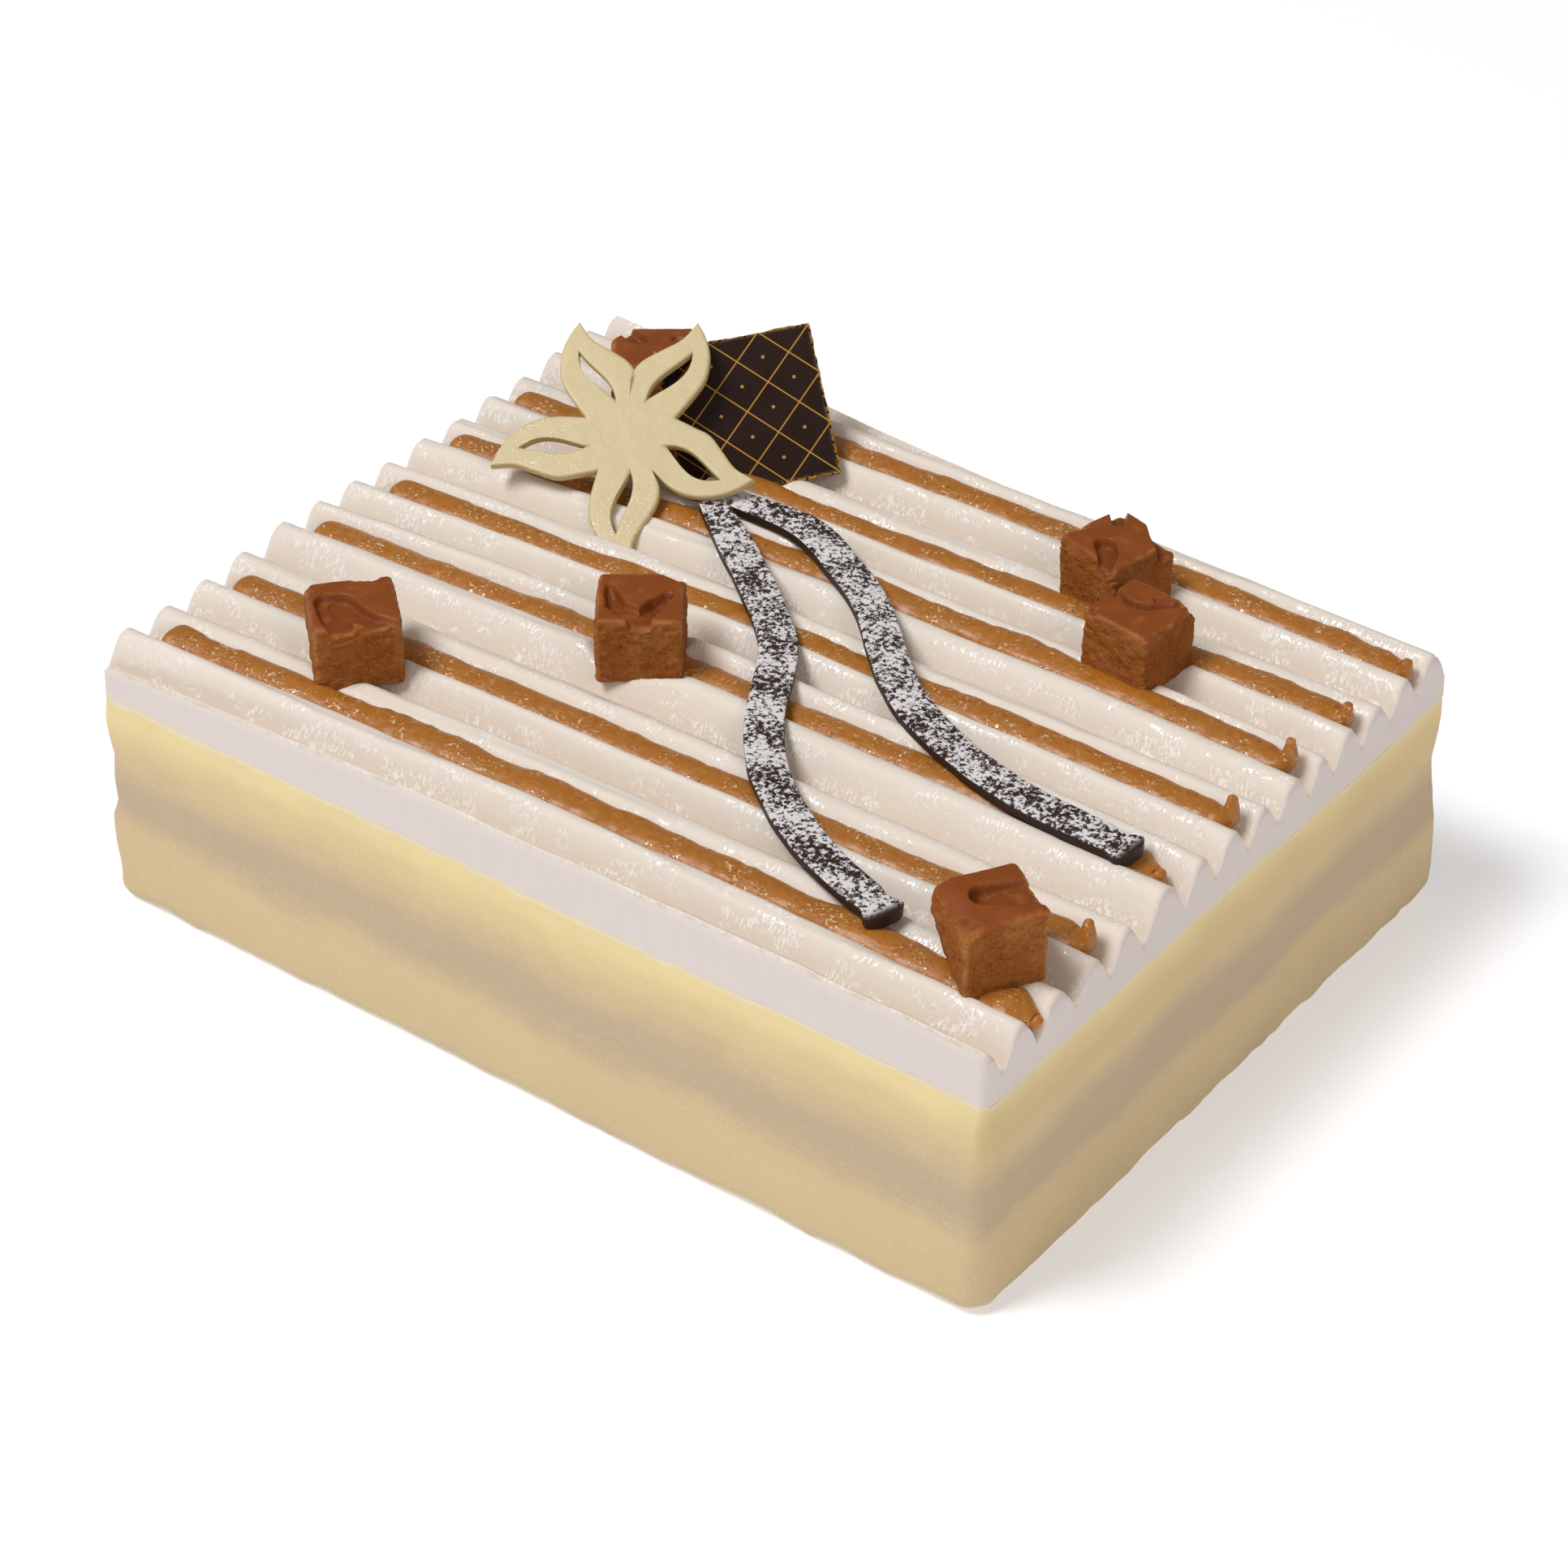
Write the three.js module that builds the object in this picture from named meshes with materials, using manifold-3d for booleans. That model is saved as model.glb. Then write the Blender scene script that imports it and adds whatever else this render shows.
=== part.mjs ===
// A rectangular layered cheesecake with a piped, ridged cream top and chocolate, fudge and caramel trimmings.
// Millimetres, +Z up. X runs along the piped ridges, and the origin lies under the middle of the foot.
import * as THREE from 'three';
import { mergeVertices } from 'three/addons/utils/BufferGeometryUtils.js';
import Module from 'manifold-3d';

const wasm = await Module();
wasm.setup();

// Driving dimensions
const HALF_LENGTH = 99.7; // of the cream block, along the ridges
const FRONT_Y = -75.7; // long cut face of the cream block
const BACK_Y = 77.3; // its other long face, at the left end
const BACK_TAPER = 3.8; // how far that face runs in at the right end, at the top
const TOP_Z = 57; // usual height of a ridge crest
const END_SWELL = 1.6; // how far the left end bellies out at half height
const GAP = 0.3; // clear space between touching pieces
const LIFT = 0.5; // upward clearance of what is pressed into the cream

// The heights where one layer ends and the next begins, and how much each seam waves
const SEAMS = [
  { z: 18.3, swing: 0.6 },
  { z: 31.7, swing: 0.9 },
  { z: 45.7, swing: 0.8 },
];
// Outlines of each layer: height, how far it stands out past the cream, corner radius
const LAYERS = {
  base_layer: [[0, 0.9, 5], [1.6, 1.8, 5], [11, 1.7, 4.5], [SEAMS[0].z, 0.9, 4]],
  middle_layer: [[SEAMS[0].z + GAP, 0.9, 4], [20.5, 0.3, 4], [26, 0.2, 4], [SEAMS[1].z, -0.3, 3.5]],
  upper_layer: [[SEAMS[1].z + GAP, -0.3, 3.5], [36, 0.1, 3], [41, 0.5, 2.5], [SEAMS[2].z, 0.1, 2]],
};
const CREAM_FOOT = [SEAMS[2].z + GAP, 0.1, 2];
// Slow waves of the seams and small ones of the cut faces: depth, and millimetres in X and Y for each radian
const SEAM_WAVE = { alongX: 15, alongY: 21 };
const RIPPLE = { depth: 0.2, alongX: 6.5, alongY: 5 };

// Grooves between the piped ridges: their Y at the left end, the middle and the right end
const GROOVES = [
  [-84, -82, -81.5],
  [-74.5, -71.5, -71],
  [-64.5, -60.5, -61],
  [-54, -49, -49.5],
  [-43.5, -41, -39.5],
  [-32.5, -28.5, -29],
  [-21, -15.5, -16],
  [-11.5, -5, -6],
  [-1, 4, 4.5],
  [9, 14.5, 14.5],
  [19.5, 26, 25],
  [30.5, 34.5, 33.5],
  [40.5, 42.5, 43.5],
  [50.5, 54, 53.5],
  [61, 63.5, 63],
  [71.5, 73, 73.5],
  [82, 83, 83.5],
];
const CRESTS = [57.3, 57.4, 56.6, 57, 57.3, 58.5, 58, 57.4, 56.6, 57.1, 56.5, 57.1, 56.2, 57.1, 57.4, 57];
const GROOVE_Z = 50.6;
const RIDGE_STEPS = [0, 0.24, 0.42, 0.58, 0.7, 0.8]; // places across a ridge, as parts of its width
const RIDGE_LEAN = 1.2; // above 1, the crest lies past the middle and the far flank is the steeper one
const RIDGE_FULLNESS = 0.9; // below 1, the ridge is fuller than a sine wave
const STATION = 12; // length of cream between two cross-sections

// Caramel lines: the groove each lies in, its two ends along X, and the height of its pulled-up tip
const CARAMEL = [
  [2, -93.5, 98.4, 0.8],
  [4, -95, 96.5, 3.2],
  [6, -95.5, 95, 1.2],
  [8, -93.5, 97, 3.6],
  [10, -95.5, 96, 3.6],
  [12, -95.5, 97, 2.4],
  [14, -94, 98.6, 3],
];
// A line's dome over the groove: how far it rises at three places across, and how much it swells along
const BEAD = { across: [0.25, 0.55, 0.8], rise: [1.1, 1.6, 1.1], swell: 0.25, wave: 9 };

// Fudge cubes: X, Y and Z of the foot's middle, yaw in degrees, width, depth and height
const CUBES = [
  [-59.7, -50.1, 55.5, 47.7, 16.5, 15.8, 12.9],
  [-17.7, -17.5, 55.5, 35.1, 16.4, 16.8, 12.9],
  [40.4, 53.8, 55.5, 73.6, 15.2, 15.2, 12.4],
  [56.1, 35.8, 55.5, 83.7, 15, 15, 12.6],
  [86.4, -54.6, 55.5, 60, 15, 14.4, 15.6],
  [-70.5, 53.2, 55.5, 37, 16.5, 15, 15],
];
// How much the cubes' edges are rounded, how deep the top is dented and how uneven the faces are
const CUBE_FORM = { soft: 0.035, dent: 0.9, uneven: 0.25 };

// White chocolate flower, a pierced plate that leans on the plaque
const FLOWER = { place: [-57.6, 28.4, 66.8], facing: -67.6, tilt: 31.9, thickness: 2 };
// Each petal's direction, and the side that its tip is swept to
const PETALS = [[68, 1], [127.5, -1], [198.5, 1], [279.5, 1], [343.5, 1]];
// One petal, along and across its axis: out on the side it is swept to, and back on the other
const SWEPT_SIDE = [[8, 5.6], [11.5, 7], [15, 6.7], [19, 4.6], [22.8, 2.6], [27.3, 2]];
const ROUND_SIDE = [[27.3, 2], [25.4, -1.2], [22.4, -4.2], [18, -6.3], [13.5, -6.5], [8.5, -5]];
const OPENING = { from: 8.2, to: 21.3, halfWidth: 1.9, sway: 1.1, points: 8 };
const PETAL_STEPS = 8; // straight pieces along each side of a petal

// Dark chocolate plaque, leaning back on the sixth cube
const PLAQUE = { place: [-44.9, 50.3, 65.9], facing: -50.8, tilt: 42.4, roll: 9.8 };
const PLAQUE_SIDE = 31.2;
const PLAQUE_THICKNESS = 1.5;

// Dark chocolate pods, by the middle of their upper side
const POD = { width: 7.3, thickness: 1.9, startZ: 59.3, topZ: 59.8, steps: 22 };
const KNOB = { length: 5, flare: 0.5, neck: 0.3 }; // the pod's swollen end
const POD_START = { narrow: 0.75, widenOver: 0.12, riseOver: 0.2 }; // parts of its width and of its length
const POD_PATHS = [
  [[-37, 28.6], [-21.7, 17.4], [-6.3, 5.3], [4.3, -5.2], [15, -23.5], [26.8, -37.3], [45, -49.4], [67, -57.4]],
  [[-32.5, 35], [-17.5, 32], [-3, 25.1], [9.4, 17.1], [28, -0.2], [43.7, -9.2], [64, -15.4], [90.5, -17.4]],
];

const FINISH = {
  vanilla: new THREE.MeshStandardMaterial({ color: 0xdbc48e, roughness: 0.7 }),
  nut: new THREE.MeshStandardMaterial({ color: 0xc4b08f, roughness: 0.7 }),
  cream: new THREE.MeshStandardMaterial({ color: 0xebe3d8, roughness: 0.45 }),
  caramel: new THREE.MeshStandardMaterial({ color: 0xb57838, roughness: 0.35 }),
  fudge: new THREE.MeshStandardMaterial({ color: 0x955223, roughness: 0.6 }),
  white: new THREE.MeshStandardMaterial({ color: 0xe2d3ab, roughness: 0.4 }),
  dark: new THREE.MeshStandardMaterial({ color: 0x33201c, roughness: 0.35 }),
};

const { degToRad, lerp, clamp } = THREE.MathUtils;
const group = new THREE.Group();

// Triangles that fill one end outline, wound the same way round as its points
function fill(outline, flatten) {
  const flat = outline.map(flatten);
  const faces = THREE.ShapeUtils.triangulateShape(flat, []);
  const [a, b, c] = faces[0].map((i) => flat[i]);
  const clockwise = (b.x - a.x) * (c.y - a.y) < (b.y - a.y) * (c.x - a.x);
  return clockwise === THREE.ShapeUtils.isClockWise(flat) ? faces : faces.map(([i, j, k]) => [i, k, j]);
}

// A closed skin over a row of outlines with equal counts of points
function loft(outlines, flatten) {
  const count = outlines[0].length;
  const last = (outlines.length - 1) * count;
  const faces = fill(outlines[0], flatten).map(([i, j, k]) => [i, k, j]);
  for (let row = 0; row < last; row += count) {
    for (let i = 0; i < count; i++) {
      const a = row + i;
      const b = row + ((i + 1) % count);
      faces.push([a, b, b + count], [a, b + count, a + count]);
    }
  }
  faces.push(...fill(outlines.at(-1), flatten).map((face) => face.map((i) => i + last)));
  const points = outlines.flat();
  const volume = faces.reduce((sum, [i, j, k]) => sum + points[i].dot(points[j].clone().cross(points[k])), 0);
  const outward = volume > 0 ? faces : faces.map(([i, j, k]) => [i, k, j]);
  const geometry = new THREE.BufferGeometry().setFromPoints(points);
  geometry.setIndex(outward.flat());
  return geometry;
}

function toSolid(geometry) {
  const bare = geometry.clone();
  bare.deleteAttribute('normal');
  bare.deleteAttribute('uv');
  const merged = mergeVertices(bare, 1e-4);
  const vertProperties = new Float32Array(merged.attributes.position.array);
  const triVerts = new Uint32Array(merged.index.array);
  return new wasm.Manifold(new wasm.Mesh({ numProp: 3, vertProperties, triVerts }));
}

function toGeometry(solid) {
  const { vertProperties, triVerts } = solid.getMesh();
  const geometry = new THREE.BufferGeometry();
  geometry.setAttribute('position', new THREE.BufferAttribute(new Float32Array(vertProperties), 3));
  geometry.setIndex(new THREE.BufferAttribute(new Uint32Array(triVerts), 1));
  return geometry;
}

function add(name, geometry, material) {
  const mesh = new THREE.Mesh(geometry, material);
  mesh.name = name;
  group.add(mesh);
  return mesh;
}

// Cuts away from a placed piece what lies under it, and keeps its one large remainder
function press(mesh, under) {
  mesh.updateMatrixWorld();
  const solid = toSolid(mesh.geometry.clone().applyMatrix4(mesh.matrixWorld)).subtract(under);
  const whole = solid.decompose().reduce((best, part) => (part.volume() > best.volume() ? part : best));
  mesh.geometry = toGeometry(whole).applyMatrix4(mesh.matrixWorld.clone().invert());
}

// Turns a piece that lies flat: its face tilts up from the table and looks towards `facing`
function lean(mesh, { place, facing, tilt, roll = 0 }) {
  mesh.geometry.rotateZ(degToRad(roll));
  mesh.rotation.set(degToRad(tilt), 0, degToRad(facing + 90), 'ZXY');
  mesh.position.set(...place);
}

// Block: three flavoured layers and the foot of the cream, as outlines of a rounded rectangle

function seamWave(seam, x, y) {
  const wave = Math.sin(x / SEAM_WAVE.alongX + 2 * seam) * Math.cos(y / SEAM_WAVE.alongY - seam);
  return SEAMS[seam].swing * wave;
}

function blockOutline([height, out, radius], seam) {
  const level = seam === undefined ? height : SEAMS[seam].z; // both sides of a seam have one outline
  const back = BACK_Y + Math.min(out, 0.2);
  const taper = (BACK_TAPER * level) / TOP_Z;
  const left = -HALF_LENGTH - out - END_SWELL * Math.sin(Math.PI * clamp(level / TOP_Z, 0, 1)) ** 3;
  const corners = [
    new THREE.Vector2(left, FRONT_Y - out),
    new THREE.Vector2(HALF_LENGTH + out, FRONT_Y - out),
    new THREE.Vector2(HALF_LENGTH + out, back - taper),
    new THREE.Vector2(left, back),
  ];
  const outline = corners.flatMap((corner, i) => {
    const before = corners[(i + 3) % 4];
    const after = corners[(i + 1) % 4];
    const into = corner.clone().sub(before).setLength(radius);
    const away = after.clone().sub(corner).setLength(radius);
    const start = corner.clone().add(away);
    const bend = new THREE.QuadraticBezierCurve(corner.clone().sub(into), corner, start).getPoints(3);
    const side = new THREE.LineCurve(start, after.clone().sub(away)).getPoints(i % 2 ? 11 : 15).slice(1, -1);
    const inward = new THREE.Vector2(-away.y, away.x).normalize();
    const ripple = (p) => Math.sin(p.x / RIPPLE.alongX + p.y / RIPPLE.alongY + level);
    side.forEach((p) => p.addScaledVector(inward, RIPPLE.depth * (1 + ripple(p))));
    return [...bend, ...side];
  });
  return outline.map((p) => {
    const rise = seam === undefined ? 0 : seamWave(seam, p.x, p.y);
    return new THREE.Vector3(p.x, p.y, height + rise);
  });
}

const fromAbove = (p) => new THREE.Vector2(p.x, p.y);

function addLayer(name, material, seamBelow, seamAbove) {
  const rows = LAYERS[name];
  const seams = [seamBelow, undefined, undefined, seamAbove];
  add(name, loft(rows.map((row, i) => blockOutline(row, seams[i])), fromAbove), material);
}

addLayer('base_layer', FINISH.vanilla, undefined, 0);
addLayer('middle_layer', FINISH.nut, 0, 1);
addLayer('upper_layer', FINISH.vanilla, 1, 2);

// Cream: piped ridges side by side, cut straight round the block's edge

const stations = [];
for (let x = -9 * STATION; x <= 9 * STATION; x += STATION) {
  stations.push(x);
}

function grooveY(groove, x) {
  const [left, middle, right] = GROOVES[groove];
  const t = clamp(x / 100, -1.1, 1.1);
  return middle + ((right - left) / 2) * t + ((right + left) / 2 - middle) * t * t;
}

// A point on the cream's skin, a part of the way across one ridge: rounded on top, a sharp groove between
function creamPoint(ridge, part, x) {
  const height = Math.sin(Math.PI * part ** RIDGE_LEAN) ** RIDGE_FULLNESS;
  const y = lerp(grooveY(ridge, x), grooveY(ridge + 1, x), part);
  return new THREE.Vector3(x, y, lerp(GROOVE_Z, CRESTS[ridge], height));
}

function creamSection(x) {
  const top = CRESTS.flatMap((_, ridge) => RIDGE_STEPS.map((part) => creamPoint(ridge, part, x)));
  const below = GROOVE_Z - 3 * STATION;
  return [new THREE.Vector3(x, top[0].y, below), ...top, new THREE.Vector3(x, top.at(-1).y, below)];
}

const ridges = toSolid(loft(stations.map(creamSection), (p) => new THREE.Vector2(p.y, p.z)));
const blockTop = [blockOutline(CREAM_FOOT, 2), blockOutline([TOP_Z + STATION, 0, 2])];
const cream = ridges.intersect(toSolid(loft(blockTop, fromAbove)));
add('cream_top', toGeometry(cream), FINISH.cream);

// Caramel: a bead that fills a groove, blunt at its left end and pulled up to a tip at its right end

// The same skin point as above, on the straight stretch of cream between two stations
function skinPoint(ridge, part, x) {
  const from = Math.floor(x / STATION) * STATION;
  return creamPoint(ridge, part, from).lerp(creamPoint(ridge, part, from + STATION), (x - from) / STATION);
}

// A cross-section: three points laid in the groove, then three over its domed top
function beadSection(groove, x, fullness, peak) {
  const bottom = skinPoint(groove, 0, x);
  const near = bottom.clone().lerp(skinPoint(groove - 1, 0.8, x), fullness);
  const far = bottom.clone().lerp(skinPoint(groove, 0.24, x), fullness);
  const dome = BEAD.across.map((part, i) => {
    const p = far.clone().lerp(near, part);
    p.z = Math.max(near.z, far.z) + BEAD.rise[i] * fullness + (i === 1 ? peak : peak / 3);
    return p;
  });
  return [near, bottom, far].map((p) => p.setZ(p.z + GAP)).concat(dome);
}

const beads = CARAMEL.map(([groove, start, end, tip], line) => {
  const middle = stations.filter((x) => x > start + 4 && x < end - 8);
  const sections = [
    beadSection(groove, start, 0.4, 0),
    beadSection(groove, start + 2, 0.9, 0),
    ...middle.map((x) => beadSection(groove, x, 1, BEAD.swell * Math.sin(x / BEAD.wave + line))),
    beadSection(groove, end - 6, 1, 0.2),
    beadSection(groove, end - 3, 0.9, tip),
    beadSection(groove, end, 0.4, 0),
  ];
  const geometry = loft(sections, (p) => new THREE.Vector2(p.y, p.z));
  add(`caramel_line_${line + 1}`, geometry, FINISH.caramel);
  return toSolid(geometry);
});

// What the trimmings are pressed into, with their clearance
const lifted = [cream, ...beads].map((solid) => solid.translate([0, 0, LIFT]));
const bed = [...beads, ...lifted].reduce((sum, solid) => sum.add(solid), cream);

// Fudge cubes: cut blocks with softened edges and a stamped dent in the top

CUBES.forEach(([x, y, z, yaw, width, depth, height], i) => {
  const geometry = new THREE.BoxGeometry(2, 2, 2, 4, 4, 4);
  const place = geometry.attributes.position;
  for (let v = 0; v < place.count; v++) {
    const [a, b, c] = [place.getX(v), place.getY(v), place.getZ(v)];
    const soft = (p, q) => 1 - CUBE_FORM.soft * (p ** 6 + q ** 6);
    const dent = c > 0.9 ? CUBE_FORM.dent * Math.exp(-6 * ((a - 0.2) ** 2 + (b + 0.2) ** 2)) : 0;
    const uneven = CUBE_FORM.uneven * Math.sin(5 * a + 4 * b + 3 * c + 2 * i);
    place.setXYZ(
      v,
      (a * soft(b, c) * width) / 2 + uneven * a,
      (b * soft(a, c) * depth) / 2 + uneven * b,
      ((c * soft(a, b) + 1) * height) / 2 - dent,
    );
  }
  const cube = add(`fudge_cube_${i + 1}`, geometry, FINISH.fudge);
  cube.position.set(x, y, z);
  cube.rotation.z = degToRad(yaw);
  press(cube, bed);
});

// Pods: flat strips of chocolate in a gentle S, each ending in a small knob

function podGeometry(path) {
  const points = path.map(([x, y]) => new THREE.Vector3(x, y, 0));
  const curve = new THREE.CatmullRomCurve3(points, false, 'centripetal');
  const length = curve.getLength();
  const sections = [];
  for (let i = 0; i <= POD.steps; i++) {
    const u = i / POD.steps;
    const middle = curve.getPointAt(u);
    const ahead = curve.getTangentAt(u);
    const across = new THREE.Vector3(-ahead.y, ahead.x, 0);
    const toEnd = (length * (1 - u)) / KNOB.length;
    const flare = toEnd < 1 ? KNOB.flare - Math.abs(toEnd - KNOB.neck) : 0;
    const widening = lerp(POD_START.narrow, 1, Math.min(u / POD_START.widenOver, 1));
    const half = (POD.width / 2) * (1 + flare) * widening;
    const top = lerp(POD.startZ, POD.topZ, Math.min(u / POD_START.riseOver, 1));
    const corner = (side, z) => middle.clone().addScaledVector(across, side * half).setZ(z);
    const bottom = top - POD.thickness;
    sections.push([corner(-1, bottom), corner(1, bottom), corner(1, top), corner(-1, top)]);
  }
  return sections;
}

// An end section is flattened along the strip's own direction there
function podFlat(sections) {
  return (p) => {
    const section = sections.find((points) => points.includes(p));
    const across = section[1].clone().sub(section[0]).normalize();
    return new THREE.Vector2(p.clone().sub(section[0]).dot(across), p.z);
  };
}

POD_PATHS.forEach((path, i) => {
  const sections = podGeometry(path);
  const pod = add(`chocolate_pod_${i + 1}`, loft(sections, podFlat(sections)), FINISH.dark);
  press(pod, bed);
});

// Plaque: a thin square of chocolate

const plaqueShape = new THREE.BoxGeometry(PLAQUE_SIDE, PLAQUE_SIDE, PLAQUE_THICKNESS);
plaqueShape.translate(0, 0, -PLAQUE_THICKNESS / 2);
const plaque = add('chocolate_plaque', plaqueShape, FINISH.dark);
lean(plaque, PLAQUE);
press(plaque, bed);

// Flower: five swept petals with S-shaped openings, cut from one sheet

// A point given along and across a petal's axis
function onPetal([direction, sweep], along, across) {
  const turn = new THREE.Vector2(along, sweep * across);
  return turn.rotateAround(new THREE.Vector2(), degToRad(direction));
}

function petalEdge(petal) {
  const [swept, round] = [SWEPT_SIDE, ROUND_SIDE].map((side) => {
    return new THREE.SplineCurve(side.map(([s, t]) => onPetal(petal, s, t))).getPoints(PETAL_STEPS);
  });
  const tipToTip = [...swept, ...round.slice(1)];
  return petal[1] > 0 ? tipToTip.reverse() : tipToTip;
}

function petalOpening(petal) {
  const sides = [1, -1].map((side) => {
    const points = [];
    for (let i = 0; i < OPENING.points; i++) {
      const u = side > 0 ? i / OPENING.points : 1 - i / OPENING.points;
      const along = lerp(OPENING.from, OPENING.to, u);
      const centre = OPENING.sway * Math.cos(Math.PI * u * 1.2);
      points.push(onPetal(petal, along, centre + side * OPENING.halfWidth * Math.sin(Math.PI * u)));
    }
    return points;
  });
  return new THREE.Path(sides.flat());
}

const flowerShape = new THREE.Shape(PETALS.flatMap(petalEdge));
flowerShape.holes = PETALS.map(petalOpening);
const flowerPlate = new THREE.ExtrudeGeometry(flowerShape, { depth: FLOWER.thickness, bevelEnabled: false });
flowerPlate.translate(0, 0, -FLOWER.thickness);
const flower = add('chocolate_flower', flowerPlate, FINISH.white);
lean(flower, FLOWER);
press(flower, bed);

export default group;
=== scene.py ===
"""Cheesecake: the looks of a layered cake with a piped cream top, caramel, fudge and chocolate decorations.

Sizes are in millimetres until a mesh is made. X runs along the piped ridges, Y across them, Z up.
"""
import math

import bmesh
import bpy
import numpy as np
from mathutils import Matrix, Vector


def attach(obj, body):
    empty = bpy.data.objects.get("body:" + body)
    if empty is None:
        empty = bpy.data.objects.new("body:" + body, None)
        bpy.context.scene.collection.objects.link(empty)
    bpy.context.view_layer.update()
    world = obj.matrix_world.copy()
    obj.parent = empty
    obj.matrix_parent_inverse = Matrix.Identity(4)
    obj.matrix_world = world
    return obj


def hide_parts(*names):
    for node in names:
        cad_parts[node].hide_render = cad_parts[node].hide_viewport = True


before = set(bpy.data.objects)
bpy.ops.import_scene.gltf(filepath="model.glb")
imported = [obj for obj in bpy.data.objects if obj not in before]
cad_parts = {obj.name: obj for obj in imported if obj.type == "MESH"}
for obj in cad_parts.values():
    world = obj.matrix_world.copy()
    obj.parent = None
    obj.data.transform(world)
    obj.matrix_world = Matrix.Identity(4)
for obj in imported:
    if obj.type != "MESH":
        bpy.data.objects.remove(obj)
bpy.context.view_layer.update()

# ---- Camera, table and light ----
# The cake is seen from above its front right corner with a long lens, on a plain white table. One wide
# soft light hangs high over its front left, a weaker and warmer one stands off its right end, and the
# room is a dim warm white.
MM = 0.001

LENS = 100.55
CAMERA_AZIMUTH = math.radians(36.82)
CAMERA_ELEVATION = math.radians(36.03)
CAMERA_DISTANCE = 827.5
CAMERA_TARGET = Vector((1.48, 0.32, 25.0))
TABLE_SIDE = 6000
TABLE_WHITE = (0.90, 0.915, 0.95, 1)
TABLE_ROUGHNESS = 0.5
TABLE_GLOW = 0.33
TABLE_GLOW_TINT = (0.93, 0.95, 1, 1)
# Each light: place, side, watts, colour
SOFT_LIGHTS = {
    "key": ((-850, -1150, 2630), 1100, 60.5, (1, 1, 1)),
    "fill": ((2250, -1050, 1680), 1300, 19.2, (1, 0.88, 0.78)),
}
LIGHT_TARGET = (0, 0, 30)
ROOM_WARMTH = (1, 0.95, 0.89, 1)
ROOM_LIGHT = 0.22


def aimed(thing, place, target):
    """Puts a light or camera at its place and turns it towards the target; both in millimetres."""
    holder = bpy.data.objects.new(thing.name, thing)
    bpy.context.scene.collection.objects.link(holder)
    holder.location = Vector(place) * MM
    holder.rotation_euler = (Vector(target) - Vector(place)).to_track_quat("-Z", "Y").to_euler()
    return holder


camera = bpy.data.cameras.new("camera")
camera.lens = LENS
towards_camera = Vector((
    math.sin(CAMERA_AZIMUTH) * math.cos(CAMERA_ELEVATION),
    -math.cos(CAMERA_AZIMUTH) * math.cos(CAMERA_ELEVATION),
    math.sin(CAMERA_ELEVATION),
))
bpy.context.scene.camera = aimed(camera, CAMERA_TARGET + towards_camera * CAMERA_DISTANCE, CAMERA_TARGET)
bpy.context.scene.view_settings.view_transform = "Standard"

for name, (place, side, watts, colour) in SOFT_LIGHTS.items():
    light = bpy.data.lights.new(name, "AREA")
    light.size = side * MM
    light.energy = watts
    light.color = colour
    aimed(light, place, LIGHT_TARGET)

room = bpy.data.worlds.new("room")
room.use_nodes = True
room.node_tree.nodes["Background"].inputs["Color"].default_value = ROOM_WARMTH
room.node_tree.nodes["Background"].inputs["Strength"].default_value = ROOM_LIGHT
bpy.context.scene.world = room

table_mesh = bpy.data.meshes.new("table")
half = TABLE_SIDE / 2 * MM
table_corners = [(-half, -half, 0), (half, -half, 0), (half, half, 0), (-half, half, 0)]
table_mesh.from_pydata(table_corners, [], [(0, 1, 2, 3)])
table = bpy.data.objects.new("table", table_mesh)
bpy.context.scene.collection.objects.link(table)
table_top = bpy.data.materials.new("table_top")
table_top.use_nodes = True
for label, value in (
    ("Base Color", TABLE_WHITE),
    ("Roughness", TABLE_ROUGHNESS),
    ("Emission Color", TABLE_GLOW_TINT),
    ("Emission Strength", TABLE_GLOW),
):
    table_top.node_tree.nodes["Principled BSDF"].inputs[label].default_value = value
table_mesh.materials.append(table_top)

# ---- Cheese layers ----
# Three soft set layers make the block: pale yellow, grey-tan with nuts, and yellow again. They were cast
# in one frame, so their sides run on from each other down to a worn foot, with a soft ledge over the
# lowest that only the right end lacks.
HALF_LENGTH = 99.7
FRONT_Y = -75.7
BACK_Y = 77.3
BACK_TAPER = 3.8
TOP_Z = 57
END_SWELL = 1.6
SEAMS = ((18.3, 0.6), (31.7, 0.9), (45.7, 0.5))
SEAM_WAVE = (15, 21)
SEAM_RAG = 0.35
# Heights up the side, how far it stands out past the cream there, and the corner's radius
SIDE_HEIGHTS = (0, 1.6, 11, 17.6, 19.2, 20.8, 26, 31.7, 36, 41, 46, 57)
SIDE_OUT = (0.6, 1.8, 1.7, 1.25, 0.75, 0.3, 0.2, -0.3, 0.1, 0.5, 0.1, 0)
SIDE_RADIUS = (5, 5, 4.5, 4, 4, 4, 4, 3.5, 3, 2.5, 1.8, 1.6)
# How far the right end stands out, which is flatter and has no ledge
RIGHT_OUT = (0.3, 1.2, 1.0, 0.75, 0.65, 0.55, 0.35, 0.1, 0.2, 0.4, 0.1, 0)
CORNER_SHARE = 0.06
SIDE_COLUMNS = (240, 180)
CORNER_COLUMNS = 9
LAYER_ROWS = 22
# A layer's top row turns in and up as a short tongue, and the middles of its two lids are drawn inwards
TONGUE_SHRINK, TONGUE_RISE = (0.994, 0.994, 1), (0, 0, 0.4)
LIDS_IN = (0.2, 0.4)
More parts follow.
